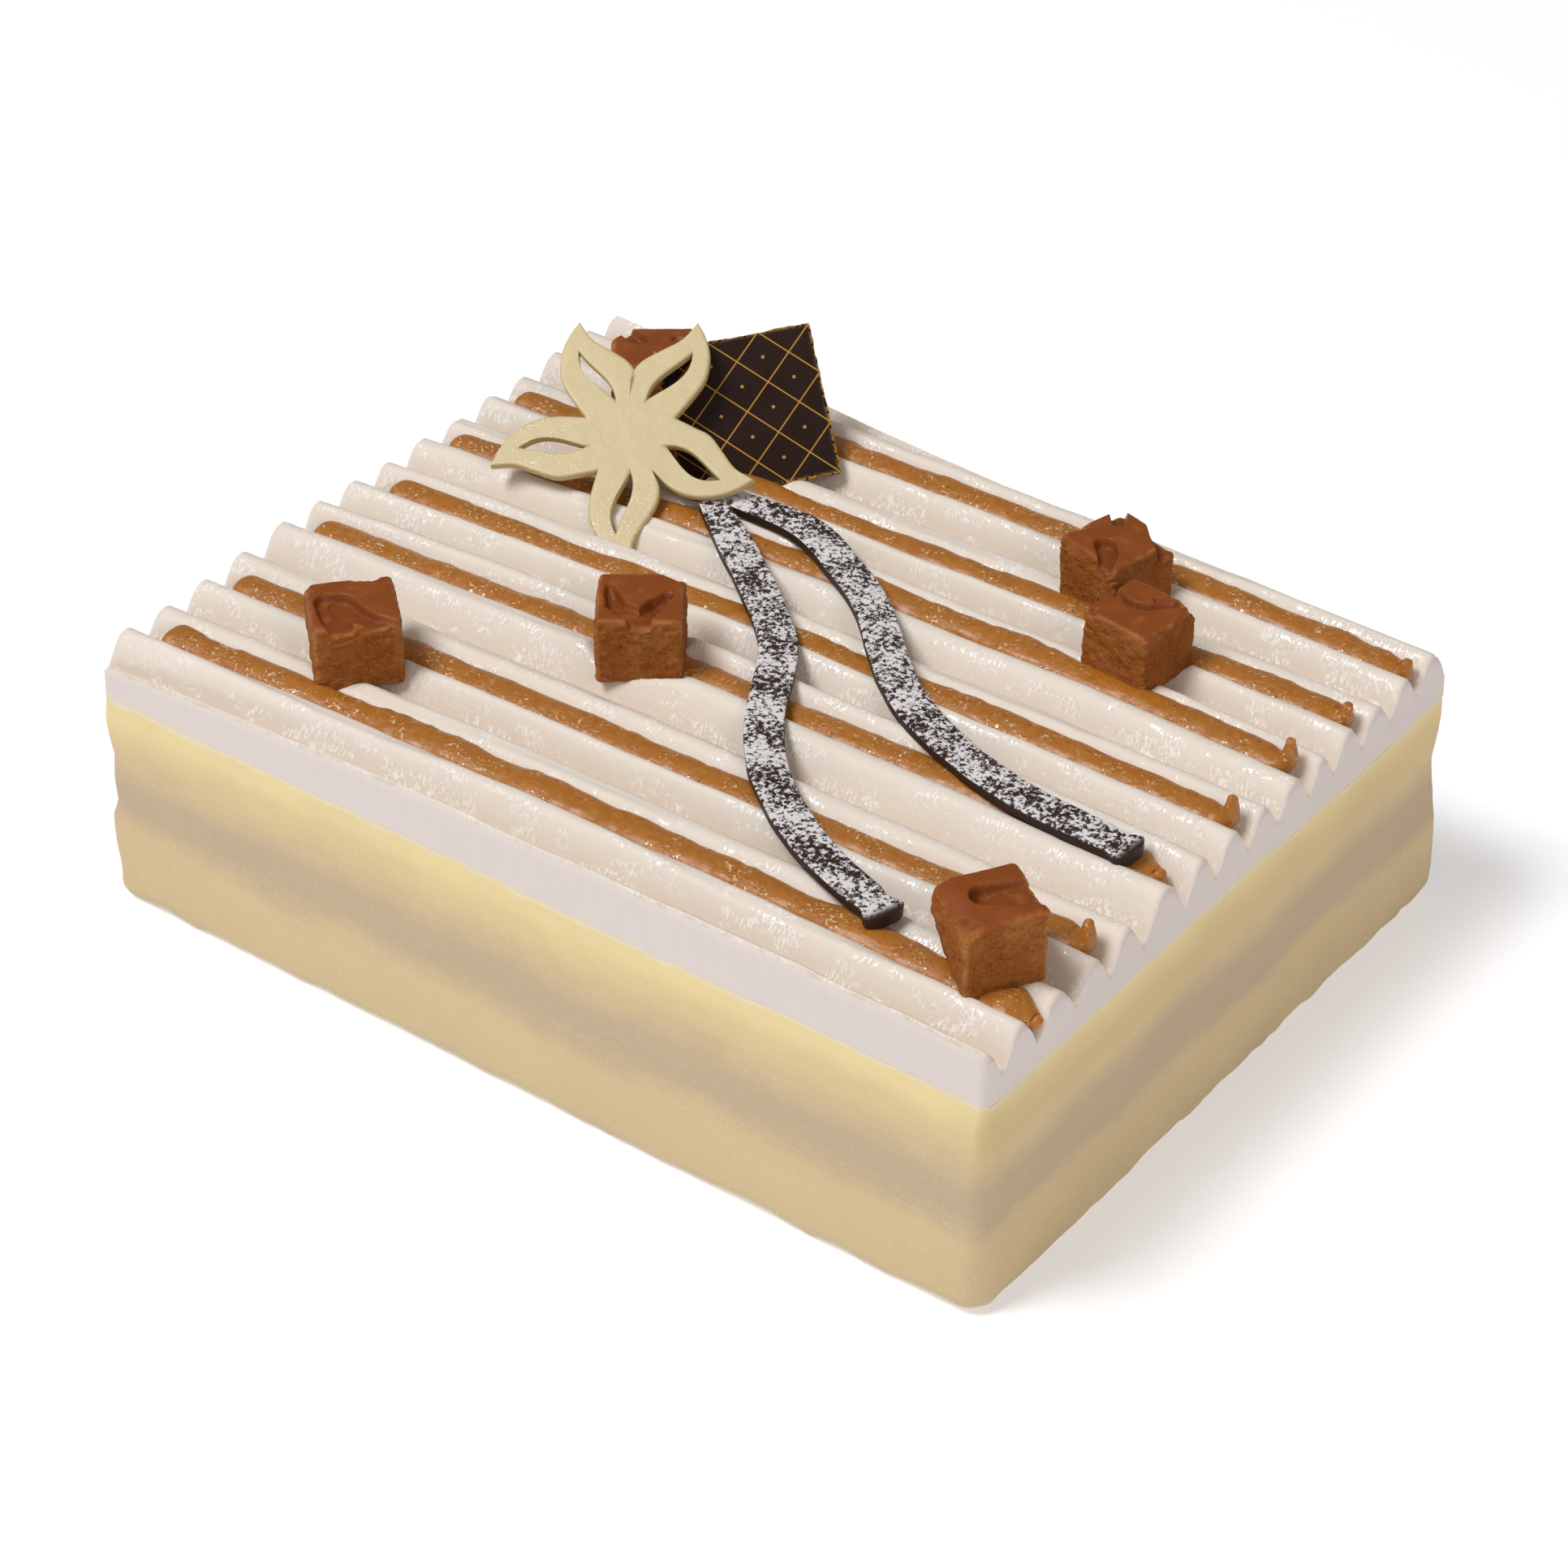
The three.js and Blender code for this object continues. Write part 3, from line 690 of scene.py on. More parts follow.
# ---- Caramel lines ----
# Soft caramel was piped into every second groove as a glossy rope, blunt where it starts. Where the bag
# was lifted away at the right it was drawn up into a small horn, or left as a drooping drop.
# Each line: groove, start, end, how high the tip is drawn up, how far it leans back, how it swells before
CARAMEL = (
    (2, -93.5, 99.8, 0.1, 0.5, 0.42),
    (4, -95, 95.4, 4.4, 1.6, 0.10),
    (6, -95.5, 94.6, 0.8, 0.0, 0.15),
    (8, -93.5, 96.0, 4.6, 1.4, 0.12),
    (10, -95.5, 95.4, 4.8, 1.9, 0.10),
    (12, -95.5, 96.2, 2.9, 1.0, 0.15),
    (14, -94, 97.2, 2.4, 0.4, 0.15),
)
ROPE_Z = 54.75
ROPE_HALF_WIDTH = 3.65
ROPE_RISE = 2.5
ROPE_DROP = 3.3
ROPE_STEP = 0.55
ROPE_SIDES = 26
ROPE_KNOTS = 24
CURL_LENGTH = 6.5
CARAMEL_AMBER = (0.385, 0.135, 0.013, 1)
CARAMEL_PALE = (0.46, 0.188, 0.026, 1)
# Painted highlight: the pale colour of the glints
CARAMEL_PAINTED_GLINT = (0.88, 0.68, 0.44, 1)
SEED_BROWN = (0.05, 0.02, 0.01, 1)


def smooth_path(knots, spacing):
    """Points about `spacing` apart on the Catmull-Rom curve through the knots, ends included."""
    knots = np.asarray(knots, float)
    padded = np.vstack([2 * knots[0] - knots[1], knots, 2 * knots[-1] - knots[-2]])
    spans = np.linalg.norm(np.diff(knots, axis=0), axis=1)
    pieces = []
    for i, span in enumerate(spans):
        before, start, end, after = padded[i:i + 4]
        t = np.linspace(0, 1, max(2, round(span / spacing)), endpoint=False)[:, None]
        pieces.append(0.5 * (
            2 * start + (end - before) * t + (2 * before - 5 * start + 4 * end - after) * t ** 2
            + (3 * start - before - 3 * end + after) * t ** 3
        ))
    return np.vstack([*pieces, knots[-1:]])


def gone_along(path):
    """How far along the path each of its points is: the summed lengths of the steps before it."""
    return np.concatenate([[0], np.cumsum(np.linalg.norm(np.diff(path, axis=0), axis=1))])


def quarter_round(x):
    """From 0 to 1 along a quarter of a circle, steep at first."""
    return np.sqrt(1 - (1 - held(x)) ** 2)


def caramel_rope(line):
    """A closed rope along its groove: lumpy ovals square to the path, shrunk to nothing at both ends."""
    groove, start, end, draw, lean, fat = CARAMEL[line]
    knots_x = np.linspace(start, end - CURL_LENGTH, ROPE_KNOTS)
    drift = 0.15 + 0.35 * lumps(knots_x, line * 13.0, 0, 16, 35)
    knots = np.stack([knots_x, groove_y(groove, knots_x) + drift, np.full(ROPE_KNOTS, ROPE_Z)], -1)
    tip_y = groove_y(groove, end)
    curl = [
        (end - 3.6, tip_y + 0.15, ROPE_Z - 0.02 * draw),
        (end - 1.4 - 0.1 * draw, tip_y + 0.15 + 0.1 * lean, ROPE_Z + 0.12 * draw),
        (end - 0.5 - 0.15 * lean, tip_y + 0.3 * lean, ROPE_Z + 0.5 * draw),
        (end - 0.4 * lean, tip_y + 0.5 * lean, ROPE_Z + draw + 1.2),
    ]
    path = smooth_path(np.vstack([knots, curl]), ROPE_STEP)
    count = len(path)
    ahead = directions(np.gradient(path, axis=0))
    level = np.stack([np.ones(count), ahead[:, 1] / ahead[:, 0].clip(0.3), np.zeros(count)], -1)
    sideways = directions(np.cross(np.array([0.0, 0, 1.0]), level))
    upwards = np.cross(ahead, sideways)
    gone = gone_along(path)
    left = gone[-1] - gone
    full = quarter_round(gone / 2.2).clip(0.02)
    tip = 0.34 + 0.66 * held((left - 1) / (4.5 + 0.9 * max(draw, 0))) ** 0.9
    tip *= quarter_round(left / 0.8).clip(0.02)
    waves = 0.13 * lumps(gone, line * 9.0, 0, 11, 31) + 0.04 * lumps(gone, line * 9.0, 0, 4.2, 34)
    swollen = fat * bell(left, 5.8, 3.4)
    size = (full * tip * (1 + waves + swollen))[:, None]
    turn = np.linspace(0, 2 * np.pi, ROPE_SIDES, endpoint=False)[None, :]
    wide = np.cos(turn) * ROPE_HALF_WIDTH
    high = np.where(np.sin(turn) > 0, ROPE_RISE * np.sin(turn).clip(0) ** 0.85, ROPE_DROP * np.sin(turn))
    rough = 1 + 0.045 * lumps(gone[:, None], turn * 2.5 + line * 7, 0, 2.0, 32)
    points = (
        path[:, None] + sideways[:, None] * (wide * size * rough)[..., None]
        + upwards[:, None] * (high * size * rough)[..., None]
    )
    return np.vstack([points.reshape(-1, 3), path[:1], path[-1:]]), tube_faces(count, ROPE_SIDES)


caramel_finish, place = new_finish(
    "caramel", Subsurface_Weight=0.25, Subsurface_Scale=0.003, Subsurface_Radius=(1.0, 0.45, 0.15),
    Coat_Roughness=0.1,
)
mottle = step(noise(place, 1.6, 3.0, 0.6), 0.35, 0.7)
seeds = dots(place, 1.8, 0.27, 0.22)
puckered = step(noise(place, 4.5, 2.0), 0.46, 0.58)
puckers = noise(place, 0.75, 2.0, 0.6)
glints = step(puckers, 0.60, 0.645) * puckered
# Painted highlight: the glints lighten the base colour, besides adding coat and lowering roughness
glint_painted_colour = mix(glints * 0.75, mix(mottle * 0.7, CARAMEL_AMBER, CARAMEL_PALE), CARAMEL_PAINTED_GLINT)
feed(
    caramel_finish,
    Base_Color=mix(seeds * 0.85, glint_painted_colour, SEED_BROWN),
    Roughness=0.30 + noise(place, 3.0) * 0.22 - glints * 0.12,
    Coat_Weight=glints * 0.9 + 0.06,
    Normal=bumps(
        (puckers - 0.5) * (0.05 + puckered * 0.36)
        + noise(stretched(place, 1.6, 1.0, 1.0), 2.2) * 0.35
    ),
)
for line in range(len(CARAMEL)):
    rope = make_piece(f"caramel_line_{line + 1}_rope", *caramel_rope(line), caramel_finish)
    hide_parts(f"caramel_line_{line + 1}")
    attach(rope, "root")

# ---- Fudge cubes ----
# Cubes cut from a slab of fudge: crumbly, sugary cut sides, lighter worn edges, and a smoother, darker top
# that kept the dents of the tool that pressed it. They were set down into the soft cream.
CUBE_SINK = 1.2
CUBE_CELLS = 58
CUBE_EDGE = 1.15
FUDGE_SIDE = (0.45, 0.13, 0.0175, 1)
FUDGE_TOP = (0.24, 0.0575, 0.007, 1)
FUDGE_CRUMB = (0.74, 0.33, 0.09, 1)
# Painted shade: the dark of the crumb's small pits and of the tool's dents
FUDGE_PIT_SHADE = (0.11, 0.027, 0.005, 1)
FUDGE_EDGE = (0.68, 0.29, 0.08, 1)
# The tool's marks in each top, as strokes through knots of right, back, half width and depth
MARKS = (
    (
        (
            (-4.6, 1.0, 2.2, 1.6), (-2.2, 0.4, 2.4, 2.0), (-0.6, -3.2, 2.6, 1.9), (2.6, -6.2, 1.7, 1.6),
            (7, -8.4, 0.9, 1),
        ),
        ((-4.4, -1.0, 2.2, 1.8), (-3.6, -5.0, 2.4, 1.8), (-2.6, -8.6, 2.0, 1.6)),
        ((1.9, 8.4, 1.5, 1.9), (4.3, 8.2, 1.7, 1.9)),
        ((-8.6, 7.0, 1.2, 0.7), (-7.6, 8.4, 1.0, 0.7)),
    ),
    (
        ((-5.8, 3.4, 0.7, 1.2), (-5.3, 1.0, 1.2, 2.0), (-4.4, -1.8, 1.5, 1.8)),
        ((-4.6, -2.4, 1.5, 1.6), (-2.4, -4.4, 2.0, 1.2), (0.0, -6.2, 2.0, 1.4), (0.3, -8.6, 2.2, 1.8)),
        ((4.9, 0.5, 1.0, 1.7), (3.3, -1.7, 1.6, 2.2), (1.8, -4.2, 1.8, 1.8), (0.6, -6.6, 1.6, 1.6)),
        ((6.2, 8.6, 2.2, 1.6), (9.0, 6.8, 2.2, 1.6)),
    ),
    (
        ((-3.4, -0.4, 1.9, 2.0), (-4.7, -2.6, 1.8, 1.8), (-7.8, -5.4, 1.3, 1.4)),
        ((3.4, 3.4, 1.0, 1.6), (5.0, 5.2, 1.4, 2.0), (7.4, 8.0, 1.6, 2.0)),
        ((-4.4, 7.6, 0.9, 1.4), (-2.4, 6.6, 0.8, 1.2), (-1.2, 6.6, 0.6, 0.8)),
        ((8.6, -1.4, 1.6, 3.2), (7.2, -4.6, 2.2, 3.2), (5.6, -8.6, 2.6, 3.2)),
    ),
    (
        (
            (1.6, 7.8, 1.0, 1.5), (0.3, 4.8, 0.9, 1.8), (-0.1, 2, 0.9, 1.8), (1, -0.6, 0.9, 1.8),
            (6.2, -4.4, 1.1, 1.6),
        ),
        ((4.3, -0.6, 0.6, 1.0), (5.6, -2.6, 0.8, 1.0)),
        ((-8.0, 5.6, 0.9, 1.0), (-6.2, 5.4, 0.7, 0.8)),
        ((8.4, -5.6, 1.4, 1.6), (6.4, -8.2, 1.2, 1.6)),
    ),
    (
        ((-0.9, 0.6, 2.4, 2.6), (1.4, -0.2, 2.8, 2.0), (4.6, -1.2, 3.2, 1.5), (9.5, -2.2, 3.5, 1.0)),
        ((-8.4, -2.8, 1.1, 0.9), (-6.6, -3.4, 0.7, 0.9)),
    ),
    (
        ((-5.2, 5.6, 1.5, 1.6), (-3.2, 3.2, 1.8, 2.0), (-2.4, 2.4, 1.4, 1.6)),
        ((-8.6, 6.0, 2.4, 2.4), (-6.2, 7.8, 1.8, 2.4)),
        ((4.6, 2.8, 0.9, 0.8), (6.6, 2.0, 0.8, 0.8)),
    ),
)
# How far a cube's back left edge is drawn in at its foot, and how far its front left corner droops
CUBE_TAPER = (0.3, 0.2, 0.4, 0.2, 2.4, 0.3)
CUBE_DROOP = (0.5, 0.2, 0.6, 0.2, 3.0, 0.3)


def box_grid(cells):
    """Points of a box from -1 to 1 with square cells on its six sides, and their faces."""
    line = np.linspace(-1, 1, cells + 1)
    u, v = (a.reshape(-1) for a in np.meshgrid(line, line))
    one = np.ones_like(u)
    sides = [(u, v, one), (u, v, -one), (u, one, v), (u, -one, v), (one, u, v), (-one, u, v)]
    points = np.vstack([np.stack(side, -1) for side in sides])
    faces = [grid_faces(cells + 1, cells + 1, start=i * len(u)) for i in range(6)]
    return points, faces


def rounded(points, half_size, radius):
    """A box of that half size with round edges, and which way each point faces.

    What sticks out of a smaller core is drawn onto a radius about it.
    """
    place = points * half_size
    core = np.clip(place, -(half_size - radius), half_size - radius)
    reach = place - core
    length = np.linalg.norm(reach, axis=1, keepdims=True)
    return core + reach / length.clip(1e-9) * np.minimum(length, radius), reach / length.clip(1e-9)


def marks_depth(marks, u, v):
    """How deep the tool's marks are at a place of a top: the deepest of its strokes, each with steep walls.

    A stroke reaches a place where the distance to its nearest stretch is under the half width there.
    """
    deepest = np.zeros_like(u)
    for knots in marks:
        for (u0, v0, width0, depth0), (u1, v1, width1, depth1) in zip(knots, knots[1:]):
            run = (u1 - u0) ** 2 + (v1 - v0) ** 2
            t = held(((u - u0) * (u1 - u0) + (v - v0) * (v1 - v0)) / run)
            apart = np.hypot(u - u0 - t * (u1 - u0), v - v0 - t * (v1 - v0))
            inside = held((width0 + t * (width1 - width0) - apart) / 0.7 + 0.5)
            depth = depth0 + t * (depth1 - depth0)
            deepest = np.maximum(deepest, depth * inside * inside * (3 - 2 * inside))
    return deepest


def turned(points, yaw):
    """Points turned about the upright axis by an angle in degrees."""
    cos, sin = cos_sin(yaw)
    x, y, z = points.T
    return np.stack([x * cos - y * sin, x * sin + y * cos, z], -1)


def welded_places(piece):
    """Places of a made piece's points in millimetres, as welding left and renumbered them."""
    places = np.empty(len(piece.data.vertices) * 3, np.float32)
    piece.data.vertices.foreach_get("co", places)
    return places.reshape(-1, 3) / MM


def droop_of(i, u, v, w):
    """How far cube i droops at a place: most at the front left corner of its top, nothing at its foot.

    Half of it is a rounding of the whole left edge, and the rest grows slowly towards the corner.
    """
    _, _, _, _, width, depth, height = CUBES[i]
    towards_corner = held((-u / width - v / depth - 0.1) / 0.9)
    towards_left = held((-2 * u / width - 0.45) / 0.55)
    droop = 0.5 * towards_left ** 2 + 0.5 * towards_corner ** 1.3
    return CUBE_DROOP[i] * droop * held(w / height) ** 2


fudge_finish, place = new_finish(
    "fudge", Subsurface_Weight=0.06, Subsurface_Scale=0.002, Specular_IOR_Level=0.22, Coat_Roughness=0.3,
)
smooth_top = painted(place, "top")
crumb = step(noise(place, 0.5, 3.0, 0.7), 0.5, 0.72) * (0.6 + painted(place, "band") * 0.3)
# Painted shade: dark spots for the small pits in the crumb
pit_shade = step(noise(place, 0.9, 3.0, 0.6), 0.42, 0.30)
side_colour = mix(crumb, mix(pit_shade * 0.75, FUDGE_SIDE, FUDGE_PIT_SHADE), FUDGE_CRUMB)
side_colour = mix(step(noise(place, 5.0, 2.0), 0.42, 0.66) * 0.35, side_colour, FUDGE_EDGE)
top_colour = mix(step(noise(place, 4.5, 2.0), 0.35, 0.75) * 0.18, FUDGE_TOP, FUDGE_SIDE)
# Painted shade: the tool's dents darken with their depth
top_colour = mix(painted(place, "dent") * 0.25, top_colour, FUDGE_PIT_SHADE)
worn = painted(place, "edge") * step(noise(place, 1.6, 3.0, 0.6), 0.32, 0.60) * (1 - smooth_top * 0.75)
grain = noise(stretched(place, 1.4, 1.4, 0.8), 0.6, 4.0, 0.75) - 0.5
feed(
    fudge_finish,
    Base_Color=mix(worn * 0.8, mix(smooth_top, side_colour, top_colour), FUDGE_EDGE),
    Roughness=between(smooth_top, 0.75, 0.42 + noise(place, 1.5) * 0.15),
    Coat_Weight=smooth_top * 0.14,
    Normal=bumps(
        (grain * 1.2 + noise(place, 1.8) * 0.3)
        * (1 - smooth_top * 0.9) + noise(place, 1.2) * smooth_top * 0.06
    ),
)
for i, (x, y, z, yaw, width, depth, height) in enumerate(CUBES):
    unit, cube_faces = box_grid(CUBE_CELLS)
    half_size = np.array([width, depth, height + CUBE_SINK]) / 2
    points, normal = rounded(unit, half_size, CUBE_EDGE)
    points[:, 2] += half_size[2] - CUBE_SINK
    seed = 40 + 5 * i
    u, v, w = points.T
    near_top = held((w - height + 1.0) / 0.7)
    rough = 0.24 * lumps(u, v, w, 3.4, seed) + 0.22 * lumps(u, v, w, 1.3, seed + 1)
    rough += 0.10 * lumps(u, v, w, 0.6, seed + 2)
    under_top = held(1 - abs(w - height + 2.4) / 2.0)
    crumbly = 0.35 * under_top * lumps(u, v, w * 2.5, 1.8, seed + 3).clip(-1, 0.2)
    sunk = marks_depth(MARKS[i], u, v)
    points = points + normal * (rough * (1 - 0.8 * near_top) + crumbly * (1 - near_top))[:, None]
    points[:, 2] -= sunk * held((w - height + 4.5) / 4.5)
    points[:, 2] -= droop_of(i, u, v, w)
    left, back = held(0.5 - u / width), held(0.5 + v / depth)
    points[:, 0] += CUBE_TAPER[i] * held(1 - w / (0.55 * height)) * back * left
    cube = make_piece(
        f"fudge_cube_{i + 1}_crumb",
        turned(points, yaw) + (x, y, z),
        cube_faces,
        fudge_finish,
        crease=80,
        weld=0.001,
    )
    # Welding renumbers the points, so the shares for the finish are worked out from the welded places
    u, v, w = turned(welded_places(cube) - (x, y, z), -yaw).T
    sunk = marks_depth(MARKS[i], u, v)
    up = (w + sunk + CUBE_SINK) / half_size[2] - 1
    spread = np.sort(np.abs([u / half_size[0], v / half_size[1], up]), axis=0)
    over_top = w + sunk + droop_of(i, u, v, w) - height + 1.1
    shares = {
        "top": held((over_top + 0.6 * lumps(u, v, 0, 2.4, 90 + i)) / 0.8),
        "edge": held((spread[1] - 0.86) / 0.10),
        "dent": held(sunk / 1.2),
        "band": held(1 - abs(w - height + 2.6) / 2.2),
    }
    for share, values in shares.items():
        paint(cube, share, values)
    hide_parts(f"fudge_cube_{i + 1}")
    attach(cube, "root")

# ---- Chocolate pods ----
# Two strips of dark chocolate in the form of vanilla pods, moulded flat with a small swollen end and
# dusted with fine sugar from above, so that their sides and the ends of the knobs stay bare.
POD_WIDTH = 7.3
POD_THICKNESS = 1.9
POD_TOP = 59.8
POD_ROWS = 260
POD_EDGE = 0.35
POD_PATHS = (
    (
        (-37, 28.6), (-21.7, 17.4), (-6.3, 5.3), (4.3, -5.2),
        (15, -23.5), (26.8, -37.3), (45, -49.4), (67, -57.4),
    ),
    (
        (-35.5, 32.2), (-17.5, 32), (-3, 25.1), (9.4, 17.1),
        (28, -0.2), (43.7, -9.2), (64, -15.4), (90.5, -17.4),
    ),
)
DARK_CHOCOLATE = (0.034, 0.0165, 0.0125, 1)
SUGAR = (0.76, 0.735, 0.75, 1)


def evenly(path, count):
    """The path again with that many points evenly spaced along it, and how far along it each one is."""
    gone = gone_along(path)
    at = np.linspace(0, gone[-1], count)
    return np.stack([np.interp(at, gone, path[:, k]) for k in range(2)], -1), at


dark_finish, place = new_finish("dark_chocolate", Specular_IOR_Level=0.25)
drifts = noise(place, 6.0, 2.0)
grains = noise(place, 1.05, 5.0, 0.75)
dust = step(grains + (drifts - 0.5) * 0.32, 0.455, 0.51) * painted(place, "dusted")
feed(
    dark_finish,
    Base_Color=mix(dust, DARK_CHOCOLATE, SUGAR),
    Roughness=between(dust, 0.42 + noise(place, 2.0) * 0.2, 0.95),
    Normal=bumps(dust * 0.18 + noise(place, 0.35, 2.0) * 0.05 * dust + noise(place, 1.6) * 0.08),
)
for i, knots in enumerate(POD_PATHS):
    flat, at = evenly(smooth_path(np.array(knots), 0.6), POD_ROWS)
    ahead = directions(np.gradient(flat, axis=0))
    sideways = np.stack([-ahead[:, 1], ahead[:, 0]], -1)
    to_end = at[-1] - at
    knob = 0.16 * bell(to_end, 1.9, 1.5) - 0.13 * bell(to_end, 4.8, 1.9)
    widening = np.interp(at / at[-1], (0, 0.12), (0.75, 1))
    half_width = POD_WIDTH / 2 * (1 + knob + 0.03 * lumps(at, i * 9.0, 0, 5, 71)) * widening
    half_width *= quarter_round(to_end / 1.9).clip(0.35)
    top = POD_TOP - 0.5 * held(1 - at / at[-1] / 0.2) + 0.15 * lumps(at, i * 5.0, 0, 14, 72)
    top += 0.25 * bell(to_end, 0, 2.4)
    corner = np.linspace(0, np.pi / 2, 4)
    profile_side = np.concatenate([
        -1 + POD_EDGE / (POD_WIDTH / 2) * (1 - np.cos(corner)), np.linspace(-0.8, 0.8, 9),
        1 - POD_EDGE / (POD_WIDTH / 2) * (1 - np.cos(corner[::-1])), [0.97, 0, -0.97],
    ])
    profile_down = np.concatenate([
        POD_EDGE * (1 - np.sin(corner)), np.zeros(9),
        POD_EDGE * (1 - np.sin(corner[::-1])), [POD_THICKNESS] * 3,
    ])
    crown = 0.12 * (1 - profile_side ** 2)
    sides = len(profile_side)
    points = np.empty((POD_ROWS, sides, 3))
    points[..., :2] = flat[:, None] + sideways[:, None] * (half_width[:, None] * profile_side)[..., None]
    thicker = 1 + 0.3 * bell(to_end, 0, 2.4)
    points[..., 2] = top[:, None] - profile_down * thicker[:, None] + crown
    ends = [[*flat[0], top[0] - POD_THICKNESS / 2], [*flat[-1], top[-1] - POD_THICKNESS / 2]]
    pod = make_piece(
        f"chocolate_pod_{i + 1}_strip",
        np.vstack([points.reshape(-1, 3), ends]),
        tube_faces(POD_ROWS, sides),
        dark_finish,
        crease=50,
    )
    on_top = (profile_down < POD_EDGE * 0.9) * held((to_end[:, None] - 0.9) / 1.5)
    paint(pod, "dusted", np.concatenate([on_top.reshape(-1), [0, 0]]))
    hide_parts(f"chocolate_pod_{i + 1}")
    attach(pod, "root")

# ---- Chocolate plaque ----
# A thin glossy square of dark chocolate that leans back on the sixth cube. Its print is a plain lattice of
# fine golden lines with a dot in each opening, and its broken edges show a rim of golden crumbs.
PLAQUE_PLACE = (-44.9, 50.3, 65.9)
PLAQUE_FACING, PLAQUE_TILT, PLAQUE_ROLL = -50.8, 42.4, 9.8
PLAQUE_SIDE = 31.2
PLAQUE_THICKNESS = 1.5
PLAQUE_CELLS = 70
LATTICE = 10.4
PLAQUE_DARK = (0.020, 0.0075, 0.005, 1)
GOLD = (0.60, 0.31, 0.035, 1)


def leaned(points, place, facing, tilt, roll=0.0):
    """A flat-lying piece turned in its own plane, tilted up about X and turned to look towards `facing`."""
    x, y, z = turned(np.asarray(points, float), roll).T
    cos, sin = cos_sin(tilt)
    return turned(np.stack([x, y * cos - z * sin, y * sin + z * cos], -1), facing + 90) + place


def own_places(piece, place, facing, tilt, roll=0.0):
    """A leaned piece's points in its own coordinates: millimetres right, up and out from its middle."""
    back_turn = leaned(np.eye(3), (0, 0, 0), facing, tilt, roll)
    return (welded_places(piece) - place) @ back_turn.T


def off_line(across):
    """0 on each of a row of parallel lines, rising to 0.5 halfway to the next."""
    return across.maths("PINGPONG", across / LATTICE + 40, 0.5)


unit, plaque_faces = box_grid(PLAQUE_CELLS)
plaque_half = np.array([PLAQUE_SIDE, PLAQUE_SIDE, PLAQUE_THICKNESS]) / 2
points, normal = rounded(unit, plaque_half, 0.25)
u, v, w = points.T
on_edge = held((np.abs(unit[:, :2]).max(1) - 0.985) / 0.015)
chipped = 0.16 * lumps(u, v, w, 1.3, 81) + 0.2 * lumps(u, v, w, 4.5, 82)
points = points + normal * (chipped * on_edge)[:, None]
bowed = 0.25 * (u / 15) ** 2 - 0.2 * (v / 15) ** 2 + 0.05 * lumps(u, v, 0, 8, 83)
points[:, 2] += bowed - PLAQUE_THICKNESS / 2
plaque = make_piece(
    "chocolate_plaque_slab",
    leaned(points, PLAQUE_PLACE, PLAQUE_FACING, PLAQUE_TILT, PLAQUE_ROLL),
    plaque_faces,
    None,
    crease=60,
    weld=0.001,
)
# The print is laid out in the plaque's own coordinates
local = own_places(plaque, PLAQUE_PLACE, PLAQUE_FACING, PLAQUE_TILT, PLAQUE_ROLL)
corner_vertex = np.empty(len(plaque.data.loops), np.int32)
plaque.data.loops.foreach_get("vertex_index", corner_vertex)
print_map = plaque.data.uv_layers.new(name="print")
print_map.data.foreach_set("uv", local[corner_vertex, :2].astype(np.float32).reshape(-1))
paint(plaque, "rim", held((np.abs(local[:, :2]).max(1) - PLAQUE_SIDE / 2 + 0.5) / 0.35))
paint(plaque, "face", held((local[:, 2] + 0.9) / 0.3))

plaque_finish, place = new_finish("plaque_chocolate", Specular_IOR_Level=0.3)
flat_place = place.node("UVMap", {"uv_map": "print"}, {}, "UV")
across, upward = axis(flat_place, "X"), axis(flat_place, "Y")
rising, falling = off_line(across + upward), off_line(across - upward)
lines = step(rising.maths("MINIMUM", rising, falling), 0.021, 0.013)
centre_dot = step((0.5 - rising) ** 2 + (0.5 - falling) ** 2, 0.0026, 0.0018)
print_mask = lines.maths("MAXIMUM", lines, centre_dot) * painted(place, "face")
rim_mask = painted(place, "rim") * step(noise(place, 0.7, 3.0), 0.42, 0.5)
gold = print_mask.maths("MAXIMUM", print_mask * 0.85, rim_mask * 0.8)
feed(
    plaque_finish,
    Base_Color=mix(gold, PLAQUE_DARK, GOLD),
    Roughness=between(gold, 0.20 + noise(place, 6.0) * 0.14, 0.42),
    Normal=bumps(noise(place, 5.0) * 0.10 + rim_mask * 0.15),
)
plaque.data.materials[0] = plaque_finish
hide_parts("chocolate_plaque")
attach(plaque, "root")

# ---- White chocolate flower ----
# A pierced plate of white chocolate cast in a mould, with five swept petals round a plain middle. Its back
# rests on a corner of the plaque and its lowest petals sink into the cream. Fine beads of damp cover two.
FLOWER_PLACE = (-57.6, 28.4, 66.8)
FLOWER_FACING, FLOWER_TILT = -67.6, 31.9
FLOWER_THICKNESS = 2.0
FLOWER_EDGE = 0.45
# The notch before each petal, going round, and the petal's direction and the side its tip is swept to
VALLEYS = ((8.5, 5), (-1.7, 10), (-9, 2.5), (-4, -8.5), (6.8, -7))
PETALS = ((68, 1), (127.5, -1), (198.5, 1), (279.5, 1), (343.5, 1))
SWEPT_SIDE = ((11.5, 7), (15, 6.7), (19, 4.6), (22.8, 2.6))
ROUND_SIDE = ((25.4, -1.2), (22.4, -4.2), (18, -6.3), (13.5, -6.5))
PETAL_TIP = (27.3, 2)
OPENING_FROM, OPENING_TO, OPENING_SWAY = 8.2, 21.3, 1.1
OPENING_HALF_WIDTHS = (1.6, 1.2, 1.6, 1.5, 1.9)
PETAL_CELLS = 96
# Cells from the flower's middle out to the opening
AXIS_CELLS = 12
RIB_CELLS = 14
WHITE_CHOCOLATE = (0.62, 0.515, 0.285, 1)
CHOCOLATE_SHADE = (0.58, 0.465, 0.235, 1)
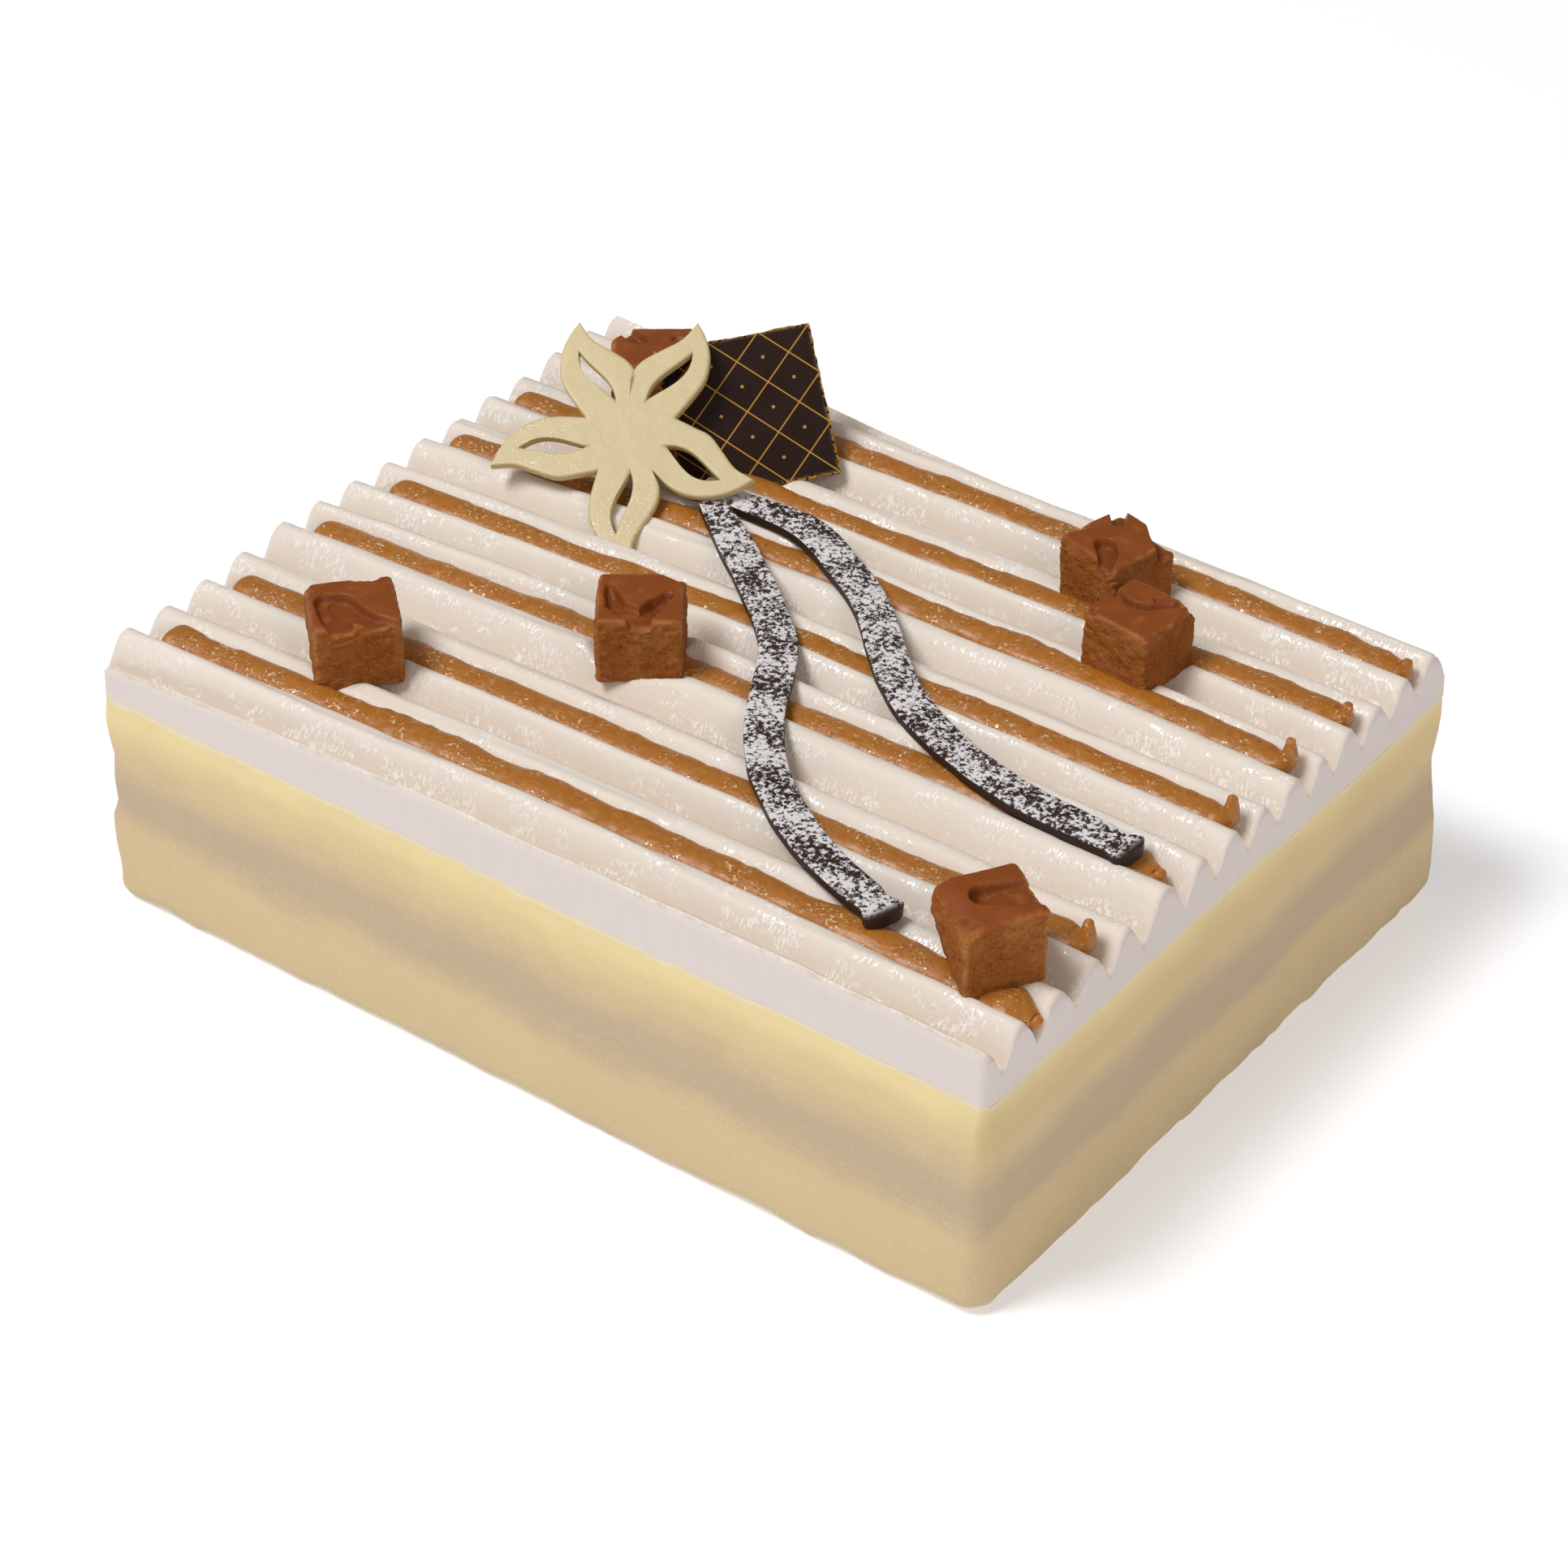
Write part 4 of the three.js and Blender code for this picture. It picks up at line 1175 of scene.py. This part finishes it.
# Painted highlight: the gleam of the damp beads
BEAD_PAINTED_GLEAM = (0.93, 0.86, 0.64, 1)
# The damp petals lie about this direction, within this many degrees
DAMP_MIDDLE, DAMP_REACH = 240, 72


def on_petal(direction, sweep, points):
    """Points given along and across a petal's axis, in the flower's plane."""
    along, across = np.asarray(points, float).T
    cos, sin = cos_sin(direction)
    return np.stack([along * cos - sweep * across * sin, along * sin + sweep * across * cos], -1)


def petal_sheet(petal):
    """Upper and lower skins of one petal as grids between its outer edge and its opening.

    Rows run round the petal from notch to notch. Columns run from the outer edge inwards: to the opening
    where there is one, and else to the petal's axis. Near both edges the skins curve down to the sides.
    """
    direction, sweep = PETALS[petal]
    first, last = VALLEYS[petal], VALLEYS[(petal + 1) % len(PETALS)]
    side_a, side_b = (SWEPT_SIDE, ROUND_SIDE) if sweep < 0 else (ROUND_SIDE[::-1], SWEPT_SIDE[::-1])
    tip = on_petal(direction, sweep, [PETAL_TIP])
    outer_a = smooth_path(np.vstack([[first], on_petal(direction, sweep, side_a), tip]), 0.3)
    outer_b = smooth_path(np.vstack([tip, on_petal(direction, sweep, side_b), [last]]), 0.3)
    half = PETAL_CELLS // 2 + 1
    outer = np.vstack([evenly(outer_a, half)[0], evenly(outer_b, half)[0][1:]])
    # Inner edge: out along the axis to the opening, round it, and back
    u = np.linspace(0, 1, half - AXIS_CELLS)
    sway = OPENING_SWAY * np.cos(np.pi * u * 1.2)
    width = OPENING_HALF_WIDTHS[petal] * np.sin(np.pi * u) ** 0.9
    along = OPENING_FROM + (OPENING_TO - OPENING_FROM) * u
    start = np.linspace((0, 0), (OPENING_FROM, OPENING_SWAY), AXIS_CELLS + 1)[:-1]
    side = 1 if sweep < 0 else -1
    inner_a = np.vstack([start, np.stack([along, sway + side * width], -1)])
    inner_b = np.vstack([start, np.stack([along, sway - side * width], -1)])[::-1]
    inner = on_petal(direction, sweep, np.vstack([inner_a, inner_b[1:]]))
    row = np.arange(len(inner))
    pierced = (row >= AXIS_CELLS) & (row < len(inner) - AXIS_CELLS)
    w = (1 - np.cos(np.linspace(0, np.pi, RIB_CELLS + 1))) / 2
    points = outer[:, None] + (inner - outer)[:, None] * w[None, :, None]
    reach = np.linalg.norm(inner - outer, axis=1)[:, None]
    edge_gap = np.minimum(reach * w, np.where(pierced[:, None], reach * (1 - w), 99))
    edge_gap = np.where((row[:, None] == 0) | (row[:, None] == len(inner) - 1), reach * w, edge_gap)
    drop = FLOWER_EDGE * (1 - quarter_round(edge_gap / FLOWER_EDGE))
    upper = np.dstack([points, -drop])
    lower = np.dstack([points, drop - FLOWER_THICKNESS])
    return upper, lower, pierced


flower_points, flower_faces, count = [], [], 0
for petal in range(len(PETALS)):
    upper, lower, pierced = petal_sheet(petal)
    petal_rows, petal_columns = upper.shape[:2]
    size = petal_rows * petal_columns
    flower_points += [upper.reshape(-1, 3), lower.reshape(-1, 3)]
    flower_faces += [
        grid_faces(petal_rows, petal_columns, start=count),
        grid_faces(petal_rows, petal_columns, start=count + size),
    ]
    step_row = np.arange(petal_rows - 1)
    for column, keep in ((0, step_row), (petal_columns - 1, step_row[pierced[:-1] & pierced[1:]])):
        here = count + keep * petal_columns + column
        after = here + petal_columns
        flower_faces.append(np.stack([here, after, after + size, here + size], -1))
    count += 2 * size

flower = make_piece(
    "chocolate_flower_plate",
    leaned(np.vstack(flower_points), FLOWER_PLACE, FLOWER_FACING, FLOWER_TILT),
    flower_faces,
    None,
    crease=50,
    weld=0.004,
)
local = own_places(flower, FLOWER_PLACE, FLOWER_FACING, FLOWER_TILT)
facing = np.degrees(np.arctan2(local[:, 1], local[:, 0])) % 360
damp = held((np.hypot(local[:, 0], local[:, 1]) - 9) / 6) * (abs(facing - DAMP_MIDDLE) < DAMP_REACH)
paint(flower, "damp", damp)

flower_finish, place = new_finish(
    "white_chocolate", Subsurface_Weight=0.3, Subsurface_Scale=0.003, Subsurface_Radius=(1.0, 0.7, 0.35),
)
# Painted highlight: the damp beads lighten the base colour, besides lowering roughness
beads = dots(place, 0.75, 0.3, 0.9) * painted(place, "damp")
feed(
    flower_finish,
    Base_Color=mix(beads * 0.6, mix(noise(place, 9.0) * 0.3, WHITE_CHOCOLATE, CHOCOLATE_SHADE), BEAD_PAINTED_GLEAM),
    Roughness=0.34 + noise(place, 2.0) * 0.16 - beads * 0.2,
    Normal=bumps(noise(place, 0.8, 2.0) * 0.03 + noise(place, 5.0) * 0.12 + beads * 0.05),
)
flower.data.materials[0] = flower_finish
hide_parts("chocolate_flower")
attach(flower, "root")
